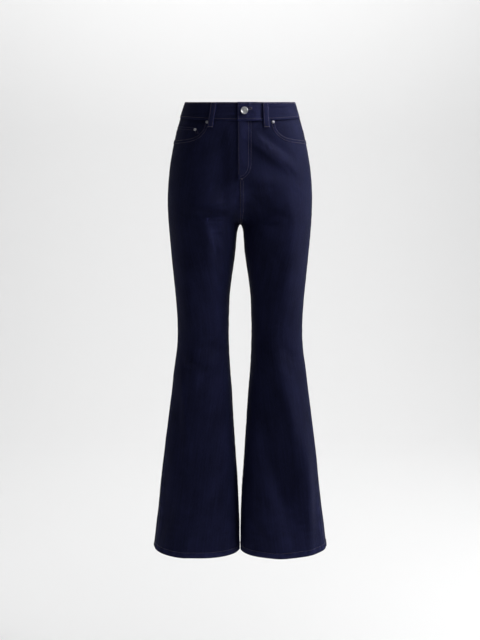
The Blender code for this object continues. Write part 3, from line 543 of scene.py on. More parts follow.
def soft_lift(side, front, along, height):
    """How far folds, creases and a slow unevenness lift the cloth off the plain form.

    What faces forward takes the front's folds and what faces back the back's, whichever panel it is cut
    from, so that panels agree at their seams. Above the crotch folds fade towards the middle. The front
    flares towards the hem: a bell over height, times the square of how squarely the cloth faces forward.
    """
    points, normals = on_leg(along, height)
    x, z = points[..., 0], points[..., 2]
    ahead = ease(0.5 - normals[..., 1] / 0.30)
    middle_fade = np.where(height > CROTCH, ease((np.abs(x) - 0.001) / 0.014), 1.0)
    lift = ahead * (fold_lift(x, z, FRONT_FOLDS, side) + crease_lift(x, z, FRONT_CREASES, side))
    lift = lift + (1 - ahead) * (fold_lift(x, z, BACK_FOLDS, side) + crease_lift(x, z, BACK_CREASES, side))
    lift = lift * middle_fade
    forward = np.clip(-normals[..., 1], 0.0, 1.0) ** 2
    lift = lift + HEM_FLARE[side] * forward * bell(z - FLARE_Z, FLARE_REACH)
    seed = 11 * (2 + side) + (3 if front else 5)
    outseam, middle = edges(front, height)
    free = ease(np.abs(along - outseam) / 0.02) * ease(np.abs(along - middle) / 0.02)
    free = free * ease((height - HEM_LOW) / 0.05)
    lift = lift + SLACK * free * hills(along / 0.052, height / 0.075, seed)
    return lift + SLACK_FINE * free * hills(along / 0.021 + 3, height / 0.030, seed + 1)


def fly_outer(height):
    """x of the fly's outer edge: straight down, then a quarter of an ellipse in to the lapped edge."""
    down = np.clip((FLY_STRAIGHT - height) / (FLY_STRAIGHT - FLY_END), 0.0, 1.0)
    return FLY_EDGE + (FLY_WIDTH - FLY_EDGE) * np.sqrt(1.0 - down ** 2)


EDGE_ROLL = 0.0010
EDGE_REACH = 0.0011
UNDER_FLY = 0.0008          # how far the left front lies lower under the fly
RISE = 0.0005               # of a felled seam and of the hem
STEP_RISE = 0.00022         # of the outseam's allowance
STEP_WIDTH = 0.0130
OUTSEAM_WAVE = 0.00040
INSEAM_WAVE = 0.00045
SCOOP_RISE = 0.0006
SCOOP_ROLL = 0.0008
ROPE = 0.00095              # of the hem's slanting waves
ROPE_PITCH = 0.0085


def panel_lift(side, front, along, height):
    """How far a leg panel's face stands off the plain form: its soft lift and the relief of its seams.

    Its edges roll in over 1 mm. The seat seam and the back's inseam are felled, so a strip as wide as the
    fell stands 0.5 mm up. The outseam's allowances show as a faint step, 13 mm from it. The folded edge of
    the pocket opening stands 0.6 mm up, over 9 mm. Under the fly the left front lies 0.8 mm lower. The hem
    stands 0.5 mm up, rolls in at its edge and is roped: short slanting waves, 0.9 mm deep.
    """
    lift = soft_lift(side, front, along, height)
    seed = 11 * (2 + side) + (3 if front else 5)
    outseam, middle = edges(front, height)
    out_away, mid_away = np.abs(along - outseam), np.abs(along - middle)
    lift = lift - EDGE_ROLL * bell(out_away, EDGE_REACH) - EDGE_ROLL * bell(mid_away, EDGE_REACH)
    under = 0.0
    if front and side > 0:
        under = ease((fly_outer(height) - 0.0012 - mid_away) / 0.003) * (height > FLY_END)
    felled = (side > 0) & (height > CROTCH) if front else (side > 0) | (height < CROTCH)
    lift = lift + RISE * (1 - under) * np.where(felled, ease((FELL + 0.0012 - mid_away) / 0.0020), 0.0)
    lift = lift + STEP_RISE * ease((STEP_WIDTH - out_away) / 0.0020)
    below = ease((-0.05 - height) / 0.05)
    lift = lift + OUTSEAM_WAVE * below * pucker(height, out_away, 0.0105, 0.012, seed + 2)
    lift = lift + INSEAM_WAVE * below * (1 - under) * pucker(height, mid_away, 0.0090, 0.014, seed + 3)
    lift = lift - UNDER_FLY * under
    if front:
        near = scoop_away(along, height)
        lift = lift + SCOOP_RISE * ease((SCOOP_FOLD + 0.001 - near) / 0.002) - SCOOP_ROLL * bell(near, 0.0010)
        uneven = hills(along / 0.010 + height / 0.012, near / 0.02, seed + 5)
        lift = lift + 0.0003 * uneven * bell(near, 0.010)
    up = height - hem_height(along, height)
    lift = lift + RISE * ease((HEM_HEIGHT + 0.0008 - up) / 0.0016)
    rope = hills((along + 0.7 * up) / ROPE_PITCH, up / 0.030 + 5, seed + 4)
    lift = lift + ROPE * rope * ease((HEM_HEIGHT + 0.007 - up) / 0.009) * ease(up / 0.003)
    return lift - 0.0011 * bell(up, 0.0012)


TWILL_PITCH = 0.00075
TWILL_TURN = 27.0


def shader_of(name, **values):
    """New material and its shader, with constants on the sockets named, whose spaces are underscores here."""
    result = bpy.data.materials.new(name)
    result.use_nodes = True
    shader = result.node_tree.nodes["Principled BSDF"]
    for socket, value in values.items():
        shader.inputs[socket.replace("_", " ")].default_value = value
    return result, shader


def cloth_material(name, face, shadow, weave=1.0, rough=0.80):
    """Denim: the dyed warp lies on top in a steep twill and lighter weft shows between. Slubby yarns run
    along the leg, the dye is slightly uneven, ridges along seams are worn paler, and painted light pales the
    lower legs."""
    result, shader = shader_of(name, Sheen_Weight=0.014, Sheen_Roughness=0.42,
                               Sheen_Tint=(0.30, 0.33, 0.80, 1.0), Specular_IOR_Level=0.07)
    nodes, links = result.node_tree.nodes, result.node_tree.links
    place = nodes.new("ShaderNodeUVMap")
    place.uv_map = "cloth"

    def noise(scale, detail):
        shift = nodes.new("ShaderNodeMapping")
        shift.inputs["Scale"].default_value = scale
        links.new(place.outputs["UV"], shift.inputs["Vector"])
        found = nodes.new("ShaderNodeTexNoise")
        found.inputs["Scale"].default_value = 1.0
        found.inputs["Detail"].default_value = detail
        links.new(shift.outputs["Vector"], found.inputs["Vector"])
        return found.outputs["Fac"]

    def math(kind, a, b, c=0.0):
        found = nodes.new("ShaderNodeMath")
        found.operation = kind
        for socket, value in zip(found.inputs, (a, b, c)):
            if hasattr(value, "is_output"):
                links.new(value, socket)
            else:
                socket.default_value = value
        return found.outputs[0]

    turn = nodes.new("ShaderNodeMapping")
    turn.inputs["Rotation"].default_value = (0.0, 0.0, np.radians(TWILL_TURN))
    links.new(place.outputs["UV"], turn.inputs["Vector"])
    twill = nodes.new("ShaderNodeTexWave")
    twill.inputs["Scale"].default_value = 0.314 / TWILL_PITCH
    twill.inputs["Distortion"].default_value = 1.6
    twill.inputs["Detail"].default_value = 1.0
    twill.inputs["Detail Scale"].default_value = 0.6
    links.new(turn.outputs["Vector"], twill.inputs["Vector"])
    yarn = noise((1500.0, 110.0, 1.0), 2.0)
    weft = noise((160.0, 1700.0, 1.0), 1.0)
    cloudy = noise((22.0, 13.0, 1.0), 3.0)
    streak = noise((260.0, 9.0, 1.0), 2.0)
    wear_and_painted_light = nodes.new("ShaderNodeAttribute")
    wear_and_painted_light.attribute_name = "wear_and_painted_light"
    light = math("MULTIPLY_ADD", twill.outputs["Fac"], 0.22 * weave, -0.05)
    light = math("MULTIPLY_ADD", yarn, 0.55 * weave, light)
    light = math("MULTIPLY_ADD", weft, 0.18 * weave, light)
    light = math("MULTIPLY_ADD", cloudy, 0.50, light)
    light = math("MULTIPLY_ADD", streak, 0.35, light)
    light = math("SUBTRACT", light, 0.62)
    # The pale attribute lightens the face: wear at seams, hems and edges, and painted light up the lower
    # legs.
    light = math("MULTIPLY_ADD", wear_and_painted_light.outputs["Fac"], 0.55, light)
    between = nodes.new("ShaderNodeMix")
    between.data_type = "RGBA"
    links.new(light, between.inputs[0])
    between.inputs[6].default_value = (*shadow, 1.0)
    between.inputs[7].default_value = (*face, 1.0)
    links.new(between.outputs[2], shader.inputs["Base Color"])
    links.new(math("MULTIPLY_ADD", yarn, 0.16, rough - 0.08), shader.inputs["Roughness"])
    relief = math("MULTIPLY_ADD", twill.outputs["Fac"], 0.6, math("MULTIPLY", yarn, 0.7))
    relief = math("MULTIPLY_ADD", weft, 0.4, relief)
    bump = nodes.new("ShaderNodeBump")
    bump.inputs["Strength"].default_value = 0.55
    bump.inputs["Distance"].default_value = 0.00022 * weave
    links.new(relief, bump.inputs["Height"])
    links.new(bump.outputs["Normal"], shader.inputs["Normal"])
    return result


denim = cloth_material("indigo_denim", (0.0190, 0.0215, 0.0740), (0.0032, 0.0039, 0.0155))
denim_inside = cloth_material("denim_reverse", (0.115, 0.125, 0.185), (0.040, 0.044, 0.080), rough=0.86)


def add_piece(name, mesh, slot, *materials):
    """Object of a mesh, which rides on the part's one body."""
    for material in materials:
        mesh.materials.append(material)
    piece = bpy.data.objects.new(name, mesh)
    bpy.context.collection.objects.link(piece)
    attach(piece, "root")
    return piece


def cloth_mesh(name, side, along, height, lift, under, wear_and_painted_light, paints=(denim, denim_inside), across=False):
    """Closed wall between a grid of outer points at lift and one of inner points at under. Its UV map gives
    the way round and up the cloth in metres, and wear_and_painted_light how pale its face is made, by wear
    and, on the lower legs, by painted light. across turns its grain."""
    face, lining = lifted(side, along, height, lift)[0], lifted(side, along, height, under)[0]
    rows, columns = face.shape[:2]
    count = rows * columns
    grid = np.arange(count).reshape(rows, columns)
    quads = np.stack([grid[:-1, :-1], grid[1:, :-1], grid[1:, 1:], grid[:-1, 1:]], axis=-1).reshape(-1, 4)
    rim = np.concatenate([grid[0, :-1], grid[:-1, -1], grid[-1, :0:-1], grid[:0:-1, 0]])
    after = np.roll(rim, -1)
    border = np.stack([rim, after, after + count, rim + count], axis=-1)
    faces = np.concatenate([quads, quads[:, ::-1] + count, border])
    points = np.concatenate([face.reshape(-1, 3), lining.reshape(-1, 3)])
    out = face.reshape(-1, 3)[quads[:, 2]] - face.reshape(-1, 3)[quads[:, 0]]
    over = face.reshape(-1, 3)[quads[:, 3]] - face.reshape(-1, 3)[quads[:, 1]]
    through = (face - lining).reshape(-1, 3)[quads[:, 0]]
    if (np.cross(out, over) * through).sum() < 0:
        faces = faces[:, ::-1]
    mesh = bpy.data.meshes.new(name)
    mesh.vertices.add(len(points))
    mesh.vertices.foreach_set("co", points.ravel())
    mesh.loops.add(faces.size)
    mesh.loops.foreach_set("vertex_index", faces.ravel().astype(np.int32))
    mesh.polygons.add(len(faces))
    mesh.polygons.foreach_set("loop_start", np.arange(0, faces.size, 4, dtype=np.int32))
    mesh.polygons.foreach_set("loop_total", np.full(len(faces), 4, dtype=np.int32))
    kind = np.zeros(len(faces), dtype=np.int32)
    kind[len(quads):2 * len(quads)] = 1
    mesh.polygons.foreach_set("material_index", kind)
    mesh.update()
    layer = mesh.uv_layers.new(name="cloth")
    grain = (height, along) if across else (along, height)
    uv = np.stack([np.broadcast_to(way, face.shape[:2]) for way in grain], axis=-1).reshape(-1, 2)
    layer.data.foreach_set("uv", np.concatenate([uv, uv])[faces.ravel()].ravel())
    worn = mesh.attributes.new("wear_and_painted_light", "FLOAT", "POINT")
    pale = np.broadcast_to(wear_and_painted_light, face.shape[:2]).reshape(-1).astype(float)
    worn.data.foreach_set("value", np.concatenate([pale, 0.0 * pale]))
    mesh.shade_smooth()
    mesh.set_sharp_from_angle(angle=np.radians(62.0))
    return add_piece(name, mesh, "denim", *paints)


EDGE_STEPS = np.array([0.0, 0.0006, 0.0013, 0.0022, 0.0034, 0.0050, 0.0070, 0.0092, 0.0118, 0.0150])
PANEL_COLUMNS = 74          # between the close columns along both edges
HEM_ROWS = np.array([20.8, 18.8, 17.2, 16.4, 15.8, 15, 13, 10.5, 8, 5.5, 3.4, 2, 1.1, 0.5, 0]) / 1000


def panel_shares(front, height):
    """Where a panel's columns stand, 0 at its outseam and 1 at its middle: close along both edges."""
    outseam, middle = edges(front, height)
    width = np.abs(middle - outseam)[..., None]
    inner = np.linspace(0.0, 1.0, PANEL_COLUMNS)[1:-1]
    last = EDGE_STEPS[-1]
    return np.concatenate([np.broadcast_to(EDGE_STEPS / width, width.shape[:-1] + EDGE_STEPS.shape),
                           (last + inner * (width - 2 * last)) / width,
                           1.0 - EDGE_STEPS[::-1] / width], axis=-1)


def panel_place(front, share, height):
    """Place round the ring of a share across a panel at a height."""
    outseam, middle = edges(front, height)
    return outseam + (middle - outseam) * share


def panel_rows(hem):
    """Heights of a panel's rows below TOP_LEVEL: even down the leg, closer at the crotch, and close together
    round the hem, whose edge differs from column to column."""
    down = np.linspace(TOP_LEVEL, CROTCH + 0.03, 44)[:-1]
    crotch = CROTCH + 0.03 * np.linspace(1.0, -1.0, 41) * np.abs(np.linspace(1.0, -1.0, 41)) ** 0.5
    leg = np.linspace(CROTCH - 0.03, -1.050, 226)[1:]
    level = np.concatenate([down, crotch, leg])
    return np.concatenate([level[:, None] + 0 * hem, hem + HEM_ROWS[:, None]])


WORN_OUTSEAM = 0.55         # how far the wear pales the cloth, of 1
WORN_INSEAM = 0.50
WORN_HEM = 0.45
# Painted light and wear: the legs are paled up from the hem over about 130 mm, more on the wearer's left leg,
# where the key light falls.
SHIN_WEAR_AND_PAINTED_LIGHT = {+1: 0.30, -1: 0.16}
WORN_RIDGE = 120.0          # for each metre that a seam's relief stands up


def leg_panel(side, front, name, top_share, top_height, tuck):
    """One leg panel from its top edge to its hem. Between its top edge and TOP_LEVEL the rows run over
    from the one to the other, close together under the edge. tuck is how far it runs on under the piece
    above, where its face lies 0.7 mm lower."""
    bottom_share = panel_shares(front, np.array(TOP_LEVEL))
    down = np.concatenate([[0.0, 0.012, 0.028, 0.05, 0.08], np.linspace(0.12, 1.0, 22)])[:, None]
    share = top_share * (1 - down) + bottom_share * down
    height = top_height * (1 - down) + TOP_LEVEL * down
    share = np.concatenate([share[:1], share[:1], share])
    height = np.concatenate([height[:1] + tuck, height[:1] + tuck * 0.1, height])
    hem = hem_height(panel_place(front, panel_shares(front, np.array(HEM_MIDDLE)), HEM_MIDDLE), HEM_MIDDLE)
    low_height = panel_rows(hem)[1:]
    column = np.arange(len(hem))
    low_share = np.stack([panel_shares(front, row)[column, column] for row in low_height])
    share = np.concatenate([share, low_share])
    height = np.concatenate([height, low_height])
    along = panel_place(front, share, height)
    lift = panel_lift(side, front, along, height)
    lift = lift - np.where(np.arange(len(height)) < 3, 0.0008, 0.0)[:, None]
    up = height - hem
    wall = DENIM + (HEM_WALL - DENIM) * ease((HEM_HEIGHT + 0.0004 - up) / 0.0014)
    outseam, middle = edges(front, height)
    # How pale the face is: wear along the seams and the hem, and painted light up the lower legs.
    wear_and_painted_light = (WORN_OUTSEAM * bell(np.abs(along - outseam) - 0.004, 0.004)
              + WORN_INSEAM * bell(np.abs(along - middle) - 0.004, 0.005)
              + (WORN_HEM + 0.5 * hills(along / 0.007, up / 0.012, 78)) * ease((HEM_HEIGHT - up) / 0.004)
              + SHIN_WEAR_AND_PAINTED_LIGHT[side] * bell(up, 0.13))
    wear_and_painted_light = wear_and_painted_light * (0.6 + 0.6 * hills(height / 0.009, along / 0.02, 77))
    relief = lift - soft_lift(side, front, along, height)
    wear_and_painted_light = wear_and_painted_light + WORN_RIDGE * np.clip(relief - 0.0006, 0.0, 0.0010)
    return cloth_mesh(name, side, along, height, lift, lift - wall, wear_and_painted_light)


def front_top():
    """Shares and heights of the front panel's top edge at its columns: the seam under the waistband from the
    middle to the pocket, then the pocket opening out to the outseam, spread by their running length."""
    seam_place = np.linspace(half_length(-0.0266, True), scoop_place[0], 60)
    place = np.concatenate([seam_place[:-1], scoop_place, [0.0]])
    height = np.concatenate([band_seam(seam_place)[:-1], scoop_height, [scoop_height[-1]]])
    run = running(place, height)
    want = (1.0 - panel_shares(True, np.array(TOP_LEVEL))) * run[-1]
    corner = np.argmin(np.abs(want - run[59]))
    want[corner] = run[59]
    places, heights = np.interp(want, run, place), np.interp(want, run, height)
    outseam, middle = edges(True, heights)
    share = (places - outseam) / (middle - outseam)
    share[0], share[-1] = 0.0, 1.0
    return share, heights


def yoke_seam(share):
    """Heights of the yoke's lower seam: from the outseam (share 0) straight down to the centre back (1)."""
    return YOKE_SIDE * (1.0 - share) + YOKE_CENTRE * share


for side, name in ((+1, "left"), (-1, "right")):
    share, height = front_top()
    under_band = TUCK * ease((panel_place(True, share, height) - scoop_place[0] + 0.002) / 0.002)
    panel = leg_panel(side, True, "front_panel_" + name, share, height, under_band)
    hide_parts("front_" + name)
    share = panel_shares(False, np.array(TOP_LEVEL))
    panel = leg_panel(side, False, "back_panel_" + name, share, yoke_seam(share), np.full(share.shape, TUCK))
    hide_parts("back_" + name)

# ------------------------------------------------------------------------------ sewing of the legs
# Spun polyester thread, dark and a little glossier than the cloth, in lockstitch. Felled seams have two rows,
# hems one, and the upper outseams one that ends in a bar tack.
STITCH_STEP = 0.0012        # between the points that a row of stitches is laid through
HEM_ROW = 0.0142
SIDE_ROW = -0.0020
SIDE_ROW_END = -0.150


def on_panel(side, front, along, height):
    """Points and normals on a leg panel's face."""
    return lifted(side, along, height, panel_lift(side, front, along, height))


thread, _ = shader_of("topstitch_thread", Base_Color=(0.046, 0.033, 0.050, 1.0), Roughness=0.52,
                      Sheen_Weight=0.15)


def unit(vectors):
    """Vectors of length 1."""
    return vectors / np.maximum(np.linalg.norm(vectors, axis=-1, keepdims=True), 1e-12)


def sew(name, lines, pitch=0.0031, length=0.0026, radius=0.00036):
    """Rows of stitches as one mesh. Each stitch is a short tube of five rings that comes up out of the cloth
    and goes back into it, turned a little across its row, as a lockstitch lies."""
    share = np.linspace(-0.5, 0.5, 5)
    rise = radius * np.array([-1.3, 0.10, 0.50, 0.10, -1.3])
    wide = radius * np.array([0.75, 1.0, 1.0, 1.0, 0.75])
    turn = 2 * np.pi * np.arange(5) / 5
    stitches = []
    for points, normals in lines:
        run = np.concatenate([[0.0], np.cumsum(np.linalg.norm(np.diff(points, axis=0), axis=1))])
        count = max(int(round(run[-1] / pitch)), 1)
        at = ((np.arange(count) + 0.5) * run[-1] / count)[:, None] + share * length
        place, up = (np.stack([np.interp(at, run, of[:, axis]) for axis in range(3)], axis=-1)
                     for of in (points, normals))
        up = unit(up)
        aside = unit(np.cross(up, place[:, -1:] - place[:, :1]))
        centre = place + up * rise[:, None] + aside * (share * 0.0004)[:, None]
        round_it = np.cos(turn)[:, None] * aside[:, :, None] + np.sin(turn)[:, None] * up[:, :, None]
        stitches.append(centre[:, :, None] + wide[:, None, None] * round_it)
    stitches = np.concatenate(stitches)
    grid = np.arange(stitches.size // 3).reshape(stitches.shape[:3])
    after = np.roll(grid, -1, axis=2)
    faces = np.stack([grid[:, :-1], after[:, :-1], after[:, 1:], grid[:, 1:]], axis=-1).reshape(-1, 4)
    mesh = bpy.data.meshes.new(name)
    mesh.from_pydata(stitches.reshape(-1, 3), [], faces)
    mesh.shade_smooth()
    add_piece(name, mesh, "thread", thread)


def bar(point, normal, ahead, long=0.0095, wide=0.0021):
    """Stitches of a bar tack: close together along the bar, each straight across it."""
    across = unit(np.cross(normal, ahead))
    ahead = unit(ahead - normal * (ahead @ normal))
    place = np.linspace(-0.5, 0.5, int(long / 0.00048))[:, None] * long * ahead
    ends = np.stack([point + place - across * wide / 2, point + place + across * wide / 2], axis=1)
    return [(pair, np.broadcast_to(normal, (2, 3))) for pair in ends]


leg_rows, leg_bars = [], []
for side in (+1, -1):
    down = np.arange(CROTCH - 0.001, -1.074, -STITCH_STEP)
    middle = edges(False, down)[1]
    for inset in (0.0018, 0.0076):
        leg_rows.append(on_panel(side, False, middle + inset, down))
    for front in (True, False):
        outseam, middle = edges(front, np.array(HEM_MIDDLE + HEM_ROW))
        across = np.linspace(outseam, middle, 260)
        leg_rows.append(on_panel(side, front, across, hem_height(across, HEM_MIDDLE) + HEM_ROW))
for front, start, insets in ((True, FLY_END, (0.0017, 0.0074)), (False, YOKE_CENTRE, (0.0017, 0.0076))):
    down = np.arange(start - 0.001, CROTCH + 0.004, -STITCH_STEP)
    for inset in insets:
        along = half_length(down, front) - inset
        leg_rows.append(on_panel(+1, front, along if front else -along, down))
down = np.arange(scoop_height[-1] - 0.001, SIDE_ROW_END, -STITCH_STEP)
for side in (+1, -1):
    leg_rows.append(on_panel(side, False, np.full(down.shape, SIDE_ROW), down))
    point, normal = on_panel(side, False, np.array([SIDE_ROW]), np.array([SIDE_ROW_END - 0.0045]))
    leg_bars += bar(point[0], normal[0], np.array([0.0, 0.0, 1.0]))
sew("leg_topstitching", leg_rows)

# ------------------------------------------------------------------------------ hip pockets
# The front panels are scooped out for the hip pockets, and a facing of the same denim shows in each opening.
# On the right one a coin pocket is sewn. Small nickel rivets hold the openings' inner corners and the coin
# pocket's.
FACING_STEP = 0.0017
FACING_WALL = 0.0012
FACING_TUCK = 0.0120
COIN_WALL = 0.0010
COIN_X = 0.1030             # inner end of the coin pocket's mouth, and how its edge leans out below it
COIN_Z = -0.0415
COIN_LEAN = 0.42
COIN_MOUTH = -0.0372        # outer end of its mouth, which sags by a half sine
COIN_SAG = 0.0010
COIN_DEPTH = 0.022


def spread(length, step, close=(0.0, 0.0001, 0.0003, 0.0007, 0.0013, 0.0022)):
    """Places from 0 to a length, a step apart, and close together at both ends."""
    close = np.array(close)
    steps = max(int(round((length - 2 * close[-1]) / step)), 1)
    even = np.linspace(close[-1], length - close[-1], steps + 1)
    return np.concatenate([close[:-1], even, length - close[-2::-1]])


def cloth_patch(name, side, along, height, lift, wall, away, wear_and_painted_light=0.0, **more):
    """Piece of cloth that lies on the form with its face lift above it. away is the distance from the piece's
    own folded edges, where its wall is rounded to a half circle."""
    half = wall / 2 * np.sqrt(np.clip(1.0 - (1.0 - np.clip(away / (wall / 2), 0.0, 1.0)) ** 2, 0.03, 1.0))
    middle = lift - wall / 2
    return cloth_mesh(name, side, along, height, middle + half, middle - half, wear_and_painted_light, **more)


def facing_foot(along):
    """Heights of a facing's lower edge: it runs on behind the opening's edge, below it and inwards."""
    return np.interp(along - 0.010, scoop_place[::-1], scoop_height[::-1]) - FACING_TUCK


def facing_lift(side, along, height):
    """A facing lies flat behind the front panel, moves with its folds and is hollow under the waistband."""
    uneven = hills(along / 0.024, height / 0.016, 41 + side)
    hollow = ease((along - 0.006) / 0.03) * ease(1 - (band_seam(along) - height) / 0.012)
    return soft_lift(side, True, along, height) - FACING_STEP + 0.0003 * uneven - 0.0020 * hollow


pocket_rows, pocket_bars = [], []
for side, name in ((+1, "left"), (-1, "right")):
    far = scoop_place[0] + 0.014
    run = spread(far, 0.0026)
    along = np.broadcast_to(run, (30, len(run)))
    top, foot = band_seam(along[0]) + TUCK, facing_foot(along[0])
    share = np.linspace(0.0, 1.0, 30)[:, None]
    height = top * (1 - share) + foot * share
    away = np.minimum(np.minimum(run, run[-1] - run), np.minimum(top - height, height - foot))
    facing = cloth_patch("facing_" + name, side, along, height, facing_lift(side, along, height), FACING_WALL,
                         np.maximum(away, 0.0002))
    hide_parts("pocket_facing_" + name)
    edge_run = running(scoop_place, scoop_height)
    dense = np.linspace(0.002, edge_run[-1] - 0.0006, 240)
    place, level = np.interp(dense, edge_run, scoop_place), np.interp(dense, edge_run, scoop_height)
    run_a, run_h = np.gradient(place, dense), np.gradient(level, dense)
    for inset in (0.0019, 0.0080):
        a, h = place - run_h * inset, level + run_a * inset
        keep = (a > 0.0006) & (h < band_seam(a) - 0.001)
        pocket_rows.append(on_panel(side, True, a[keep], h[keep]))
    point, normal = on_panel(side, True, np.array([0.0024]), scoop_height[-1:] - 0.0050)
    pocket_bars += bar(point[0], normal[0], np.array([0.0, 0.0, 1.0]), 0.0080, 0.0019)


def coin_edge(height, inset=0.0):
    """Places of the coin pocket's inner edge at heights, or of a line inside it: it leans out downwards."""
    return place_of_x(COIN_X + COIN_LEAN * (height - COIN_Z) + inset, height)


def coin_mouth(share):
    """Heights of the coin pocket's mouth: straight from the outseam (share 0) to its inner end (1), and a
    half sine."""
    return COIN_MOUTH + (COIN_Z - COIN_MOUTH) * share + COIN_SAG * np.sin(np.pi * share)


columns = spread(1.0, 0.04, (0.0, 0.002, 0.005, 0.011, 0.020, 0.033))[None, :]
rows = np.linspace(0.0, 1.0, 26)[:, None] ** 1.25
rows[:6, 0] = (0.0, 0.004, 0.012, 0.026, 0.05, 0.085)
inner = coin_edge(COIN_Z - COIN_DEPTH * rows)
along = columns * inner
mouth = coin_mouth(columns)
foot = np.interp(along, scoop_place[::-1], scoop_height[::-1]) - 0.0030
height = mouth * (1 - rows) + foot * rows
away = np.minimum(mouth - height, inner - along)
lift = facing_lift(-1, along, height) + COIN_WALL + 0.0002
lift = lift + 0.0004 * ease((0.009 - mouth + height) / 0.0015)
lift = lift - 0.0009 * ease((0.004 - height + foot) / 0.004)
coin = cloth_patch("coin_pocket_cloth", -1, along, height, lift, COIN_WALL, np.maximum(away, 0.0001),
                   wear_and_painted_light=0.5 * bell(away, 0.0016))
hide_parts("coin_pocket")


def on_coin(a, h):
    """Points and normals on the coin pocket's face."""
    return lifted(-1, a, h, facing_lift(-1, a, h) + COIN_WALL + 0.0004)


mouth_inner = coin_edge(np.array([COIN_Z]))[0]
across = np.linspace(0.002, mouth_inner - 0.0016, 90)
level = np.linspace(-0.0428, -0.0560, 24)
for inset in (0.0016, 0.0066):
    pocket_rows.append(on_coin(across, coin_mouth(across / mouth_inner) - inset))
for inset in (0.0016, 0.0066):
    pocket_rows.append(on_coin(coin_edge(level, inset), level))
sew("pocket_topstitching", pocket_rows)


def metal_material(name, colour, rough):
    """Plated metal: its gloss varies a little from handling."""
    result, shader = shader_of(name, Base_Color=(*colour, 1.0), Metallic=1.0)
    nodes, links = result.node_tree.nodes, result.node_tree.links
    place = nodes.new("ShaderNodeTexCoord")
    spots = nodes.new("ShaderNodeTexNoise")
    spots.inputs["Scale"].default_value = 900.0
    spots.inputs["Detail"].default_value = 3.0
    links.new(place.outputs["Object"], spots.inputs["Vector"])
    blend = nodes.new("ShaderNodeMapRange")
    blend.inputs["To Min"].default_value = rough - 0.07
    blend.inputs["To Max"].default_value = rough + 0.10
    links.new(spots.outputs["Fac"], blend.inputs["Value"])
    links.new(blend.outputs["Result"], shader.inputs["Roughness"])
    return result


silver = metal_material("silver_plate", (0.78, 0.78, 0.80), 0.33)
rivet_metal = metal_material("rivet_nickel", (0.36, 0.36, 0.40), 0.36)
Turn = namedtuple("Turn", "radius rise")


def turned(name, profile, place, axis, metal, sides=56):
    """Round piece: the profile's radii and heights turned about its axis, closed at both ends."""
    axis = unit(np.asarray(axis, float))
    aside = unit(np.cross(axis, [0.0, 0.0, 1.0]))
    up = np.cross(aside, axis)
    angle = np.linspace(0.0, 2 * np.pi, sides, endpoint=False)
    radius = np.array([p.radius for p in profile])[:, None, None]
    rise = np.array([p.rise for p in profile])[:, None, None]
    rings = radius * (np.cos(angle)[:, None] * aside + np.sin(angle)[:, None] * up) + rise * axis + place
    ends = [place + profile[0].rise * axis, place + profile[-1].rise * axis]
    points = np.concatenate([rings.reshape(-1, 3), ends])
    grid = np.arange(len(profile) * sides).reshape(len(profile), sides)
    after = np.roll(grid, -1, axis=1)
    faces = [list(f) for f in np.stack([grid[:-1], after[:-1], after[1:], grid[1:]], axis=-1).reshape(-1, 4)]
    faces += [[grid.size, after[0, k], grid[0, k]] for k in range(sides)]
    faces += [[grid.size + 1, grid[-1, k], after[-1, k]] for k in range(sides)]
    mesh = bpy.data.meshes.new(name)
    mesh.from_pydata(points, [], faces)
    mesh.shade_smooth()
    mesh.set_sharp_from_angle(angle=np.radians(50.0))
    return add_piece(name, mesh, "silver_metal", metal)


RIVET = in_metres(Turn, (
    (3.4, -0.8), (3.4, 0.5), (3.25, 0.9), (2.8, 1.1), (2, 1), (1.6, 1), (1.45, 1.3), (1.2, 1.7), (0.7, 1.9)))


def front_seat(x, height, out):
    """Point on the front at x and a height, moved out from the form, and the way the cloth faces there."""
    level = np.array([height])
    points, normals = lifted(np.sign(x), place_of_x(np.array([abs(x)]), level), level, out)
    return points[0], normals[0]


for name, x, level, out in (("left", 0.0775, -0.0290, 0.0009), ("right", -0.0775, -0.0290, 0.0009),
                            ("coin", -0.1062, -0.0464, -FACING_STEP + COIN_WALL + 0.0007)):
    seat, axis = front_seat(x, level, out)
    rivet = turned("rivet_cap_" + name, RIVET, seat, axis, rivet_metal, 40)
    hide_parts("rivet_" + name)

# ------------------------------------------------------------------------------ fly and zip
# The left front's edge is doubled and laps 5 mm past the centre. It hides a closed metal zip on woven tapes.
# A double J of topstitching holds the facing behind it, ending in a bar tack at the foot.
FLY_WALL = 0.0017
FLY_TOP = -0.0262
FLY_ROW = 0.0016            # first row of its topstitching, inside its outer edge
ZIP_HALF_WIDTH = 0.0120
ZIP_TOP = -0.0340
ZIP_END = -0.1560
ZIP_PITCH = 0.0021


def fly_lift(x, height):
    """How far the fly's face stands off the plain form: 3 mm at its lapped edge, level with the panel at its
    outer edge, drawn into short waves along its sewing."""
    along = half_length(height, True) - x
    share = np.clip((x - FLY_EDGE) / np.maximum(fly_outer(height) - FLY_EDGE, 1e-4), 0.0, 1.0)
    lift = soft_lift(+1, True, np.minimum(along, half_length(height, True) - 0.0001), height)
    lift = lift + 0.00012 + 0.0032 * (1 - ease(share * 1.12 - 0.04))
    wave = hills(height / 0.0105 + x / 0.02, share * 2.3, 61)
    return lift + 0.00040 * wave * ease(share * 1.6 - 0.3) * ease((fly_outer(height) - x) / 0.002)


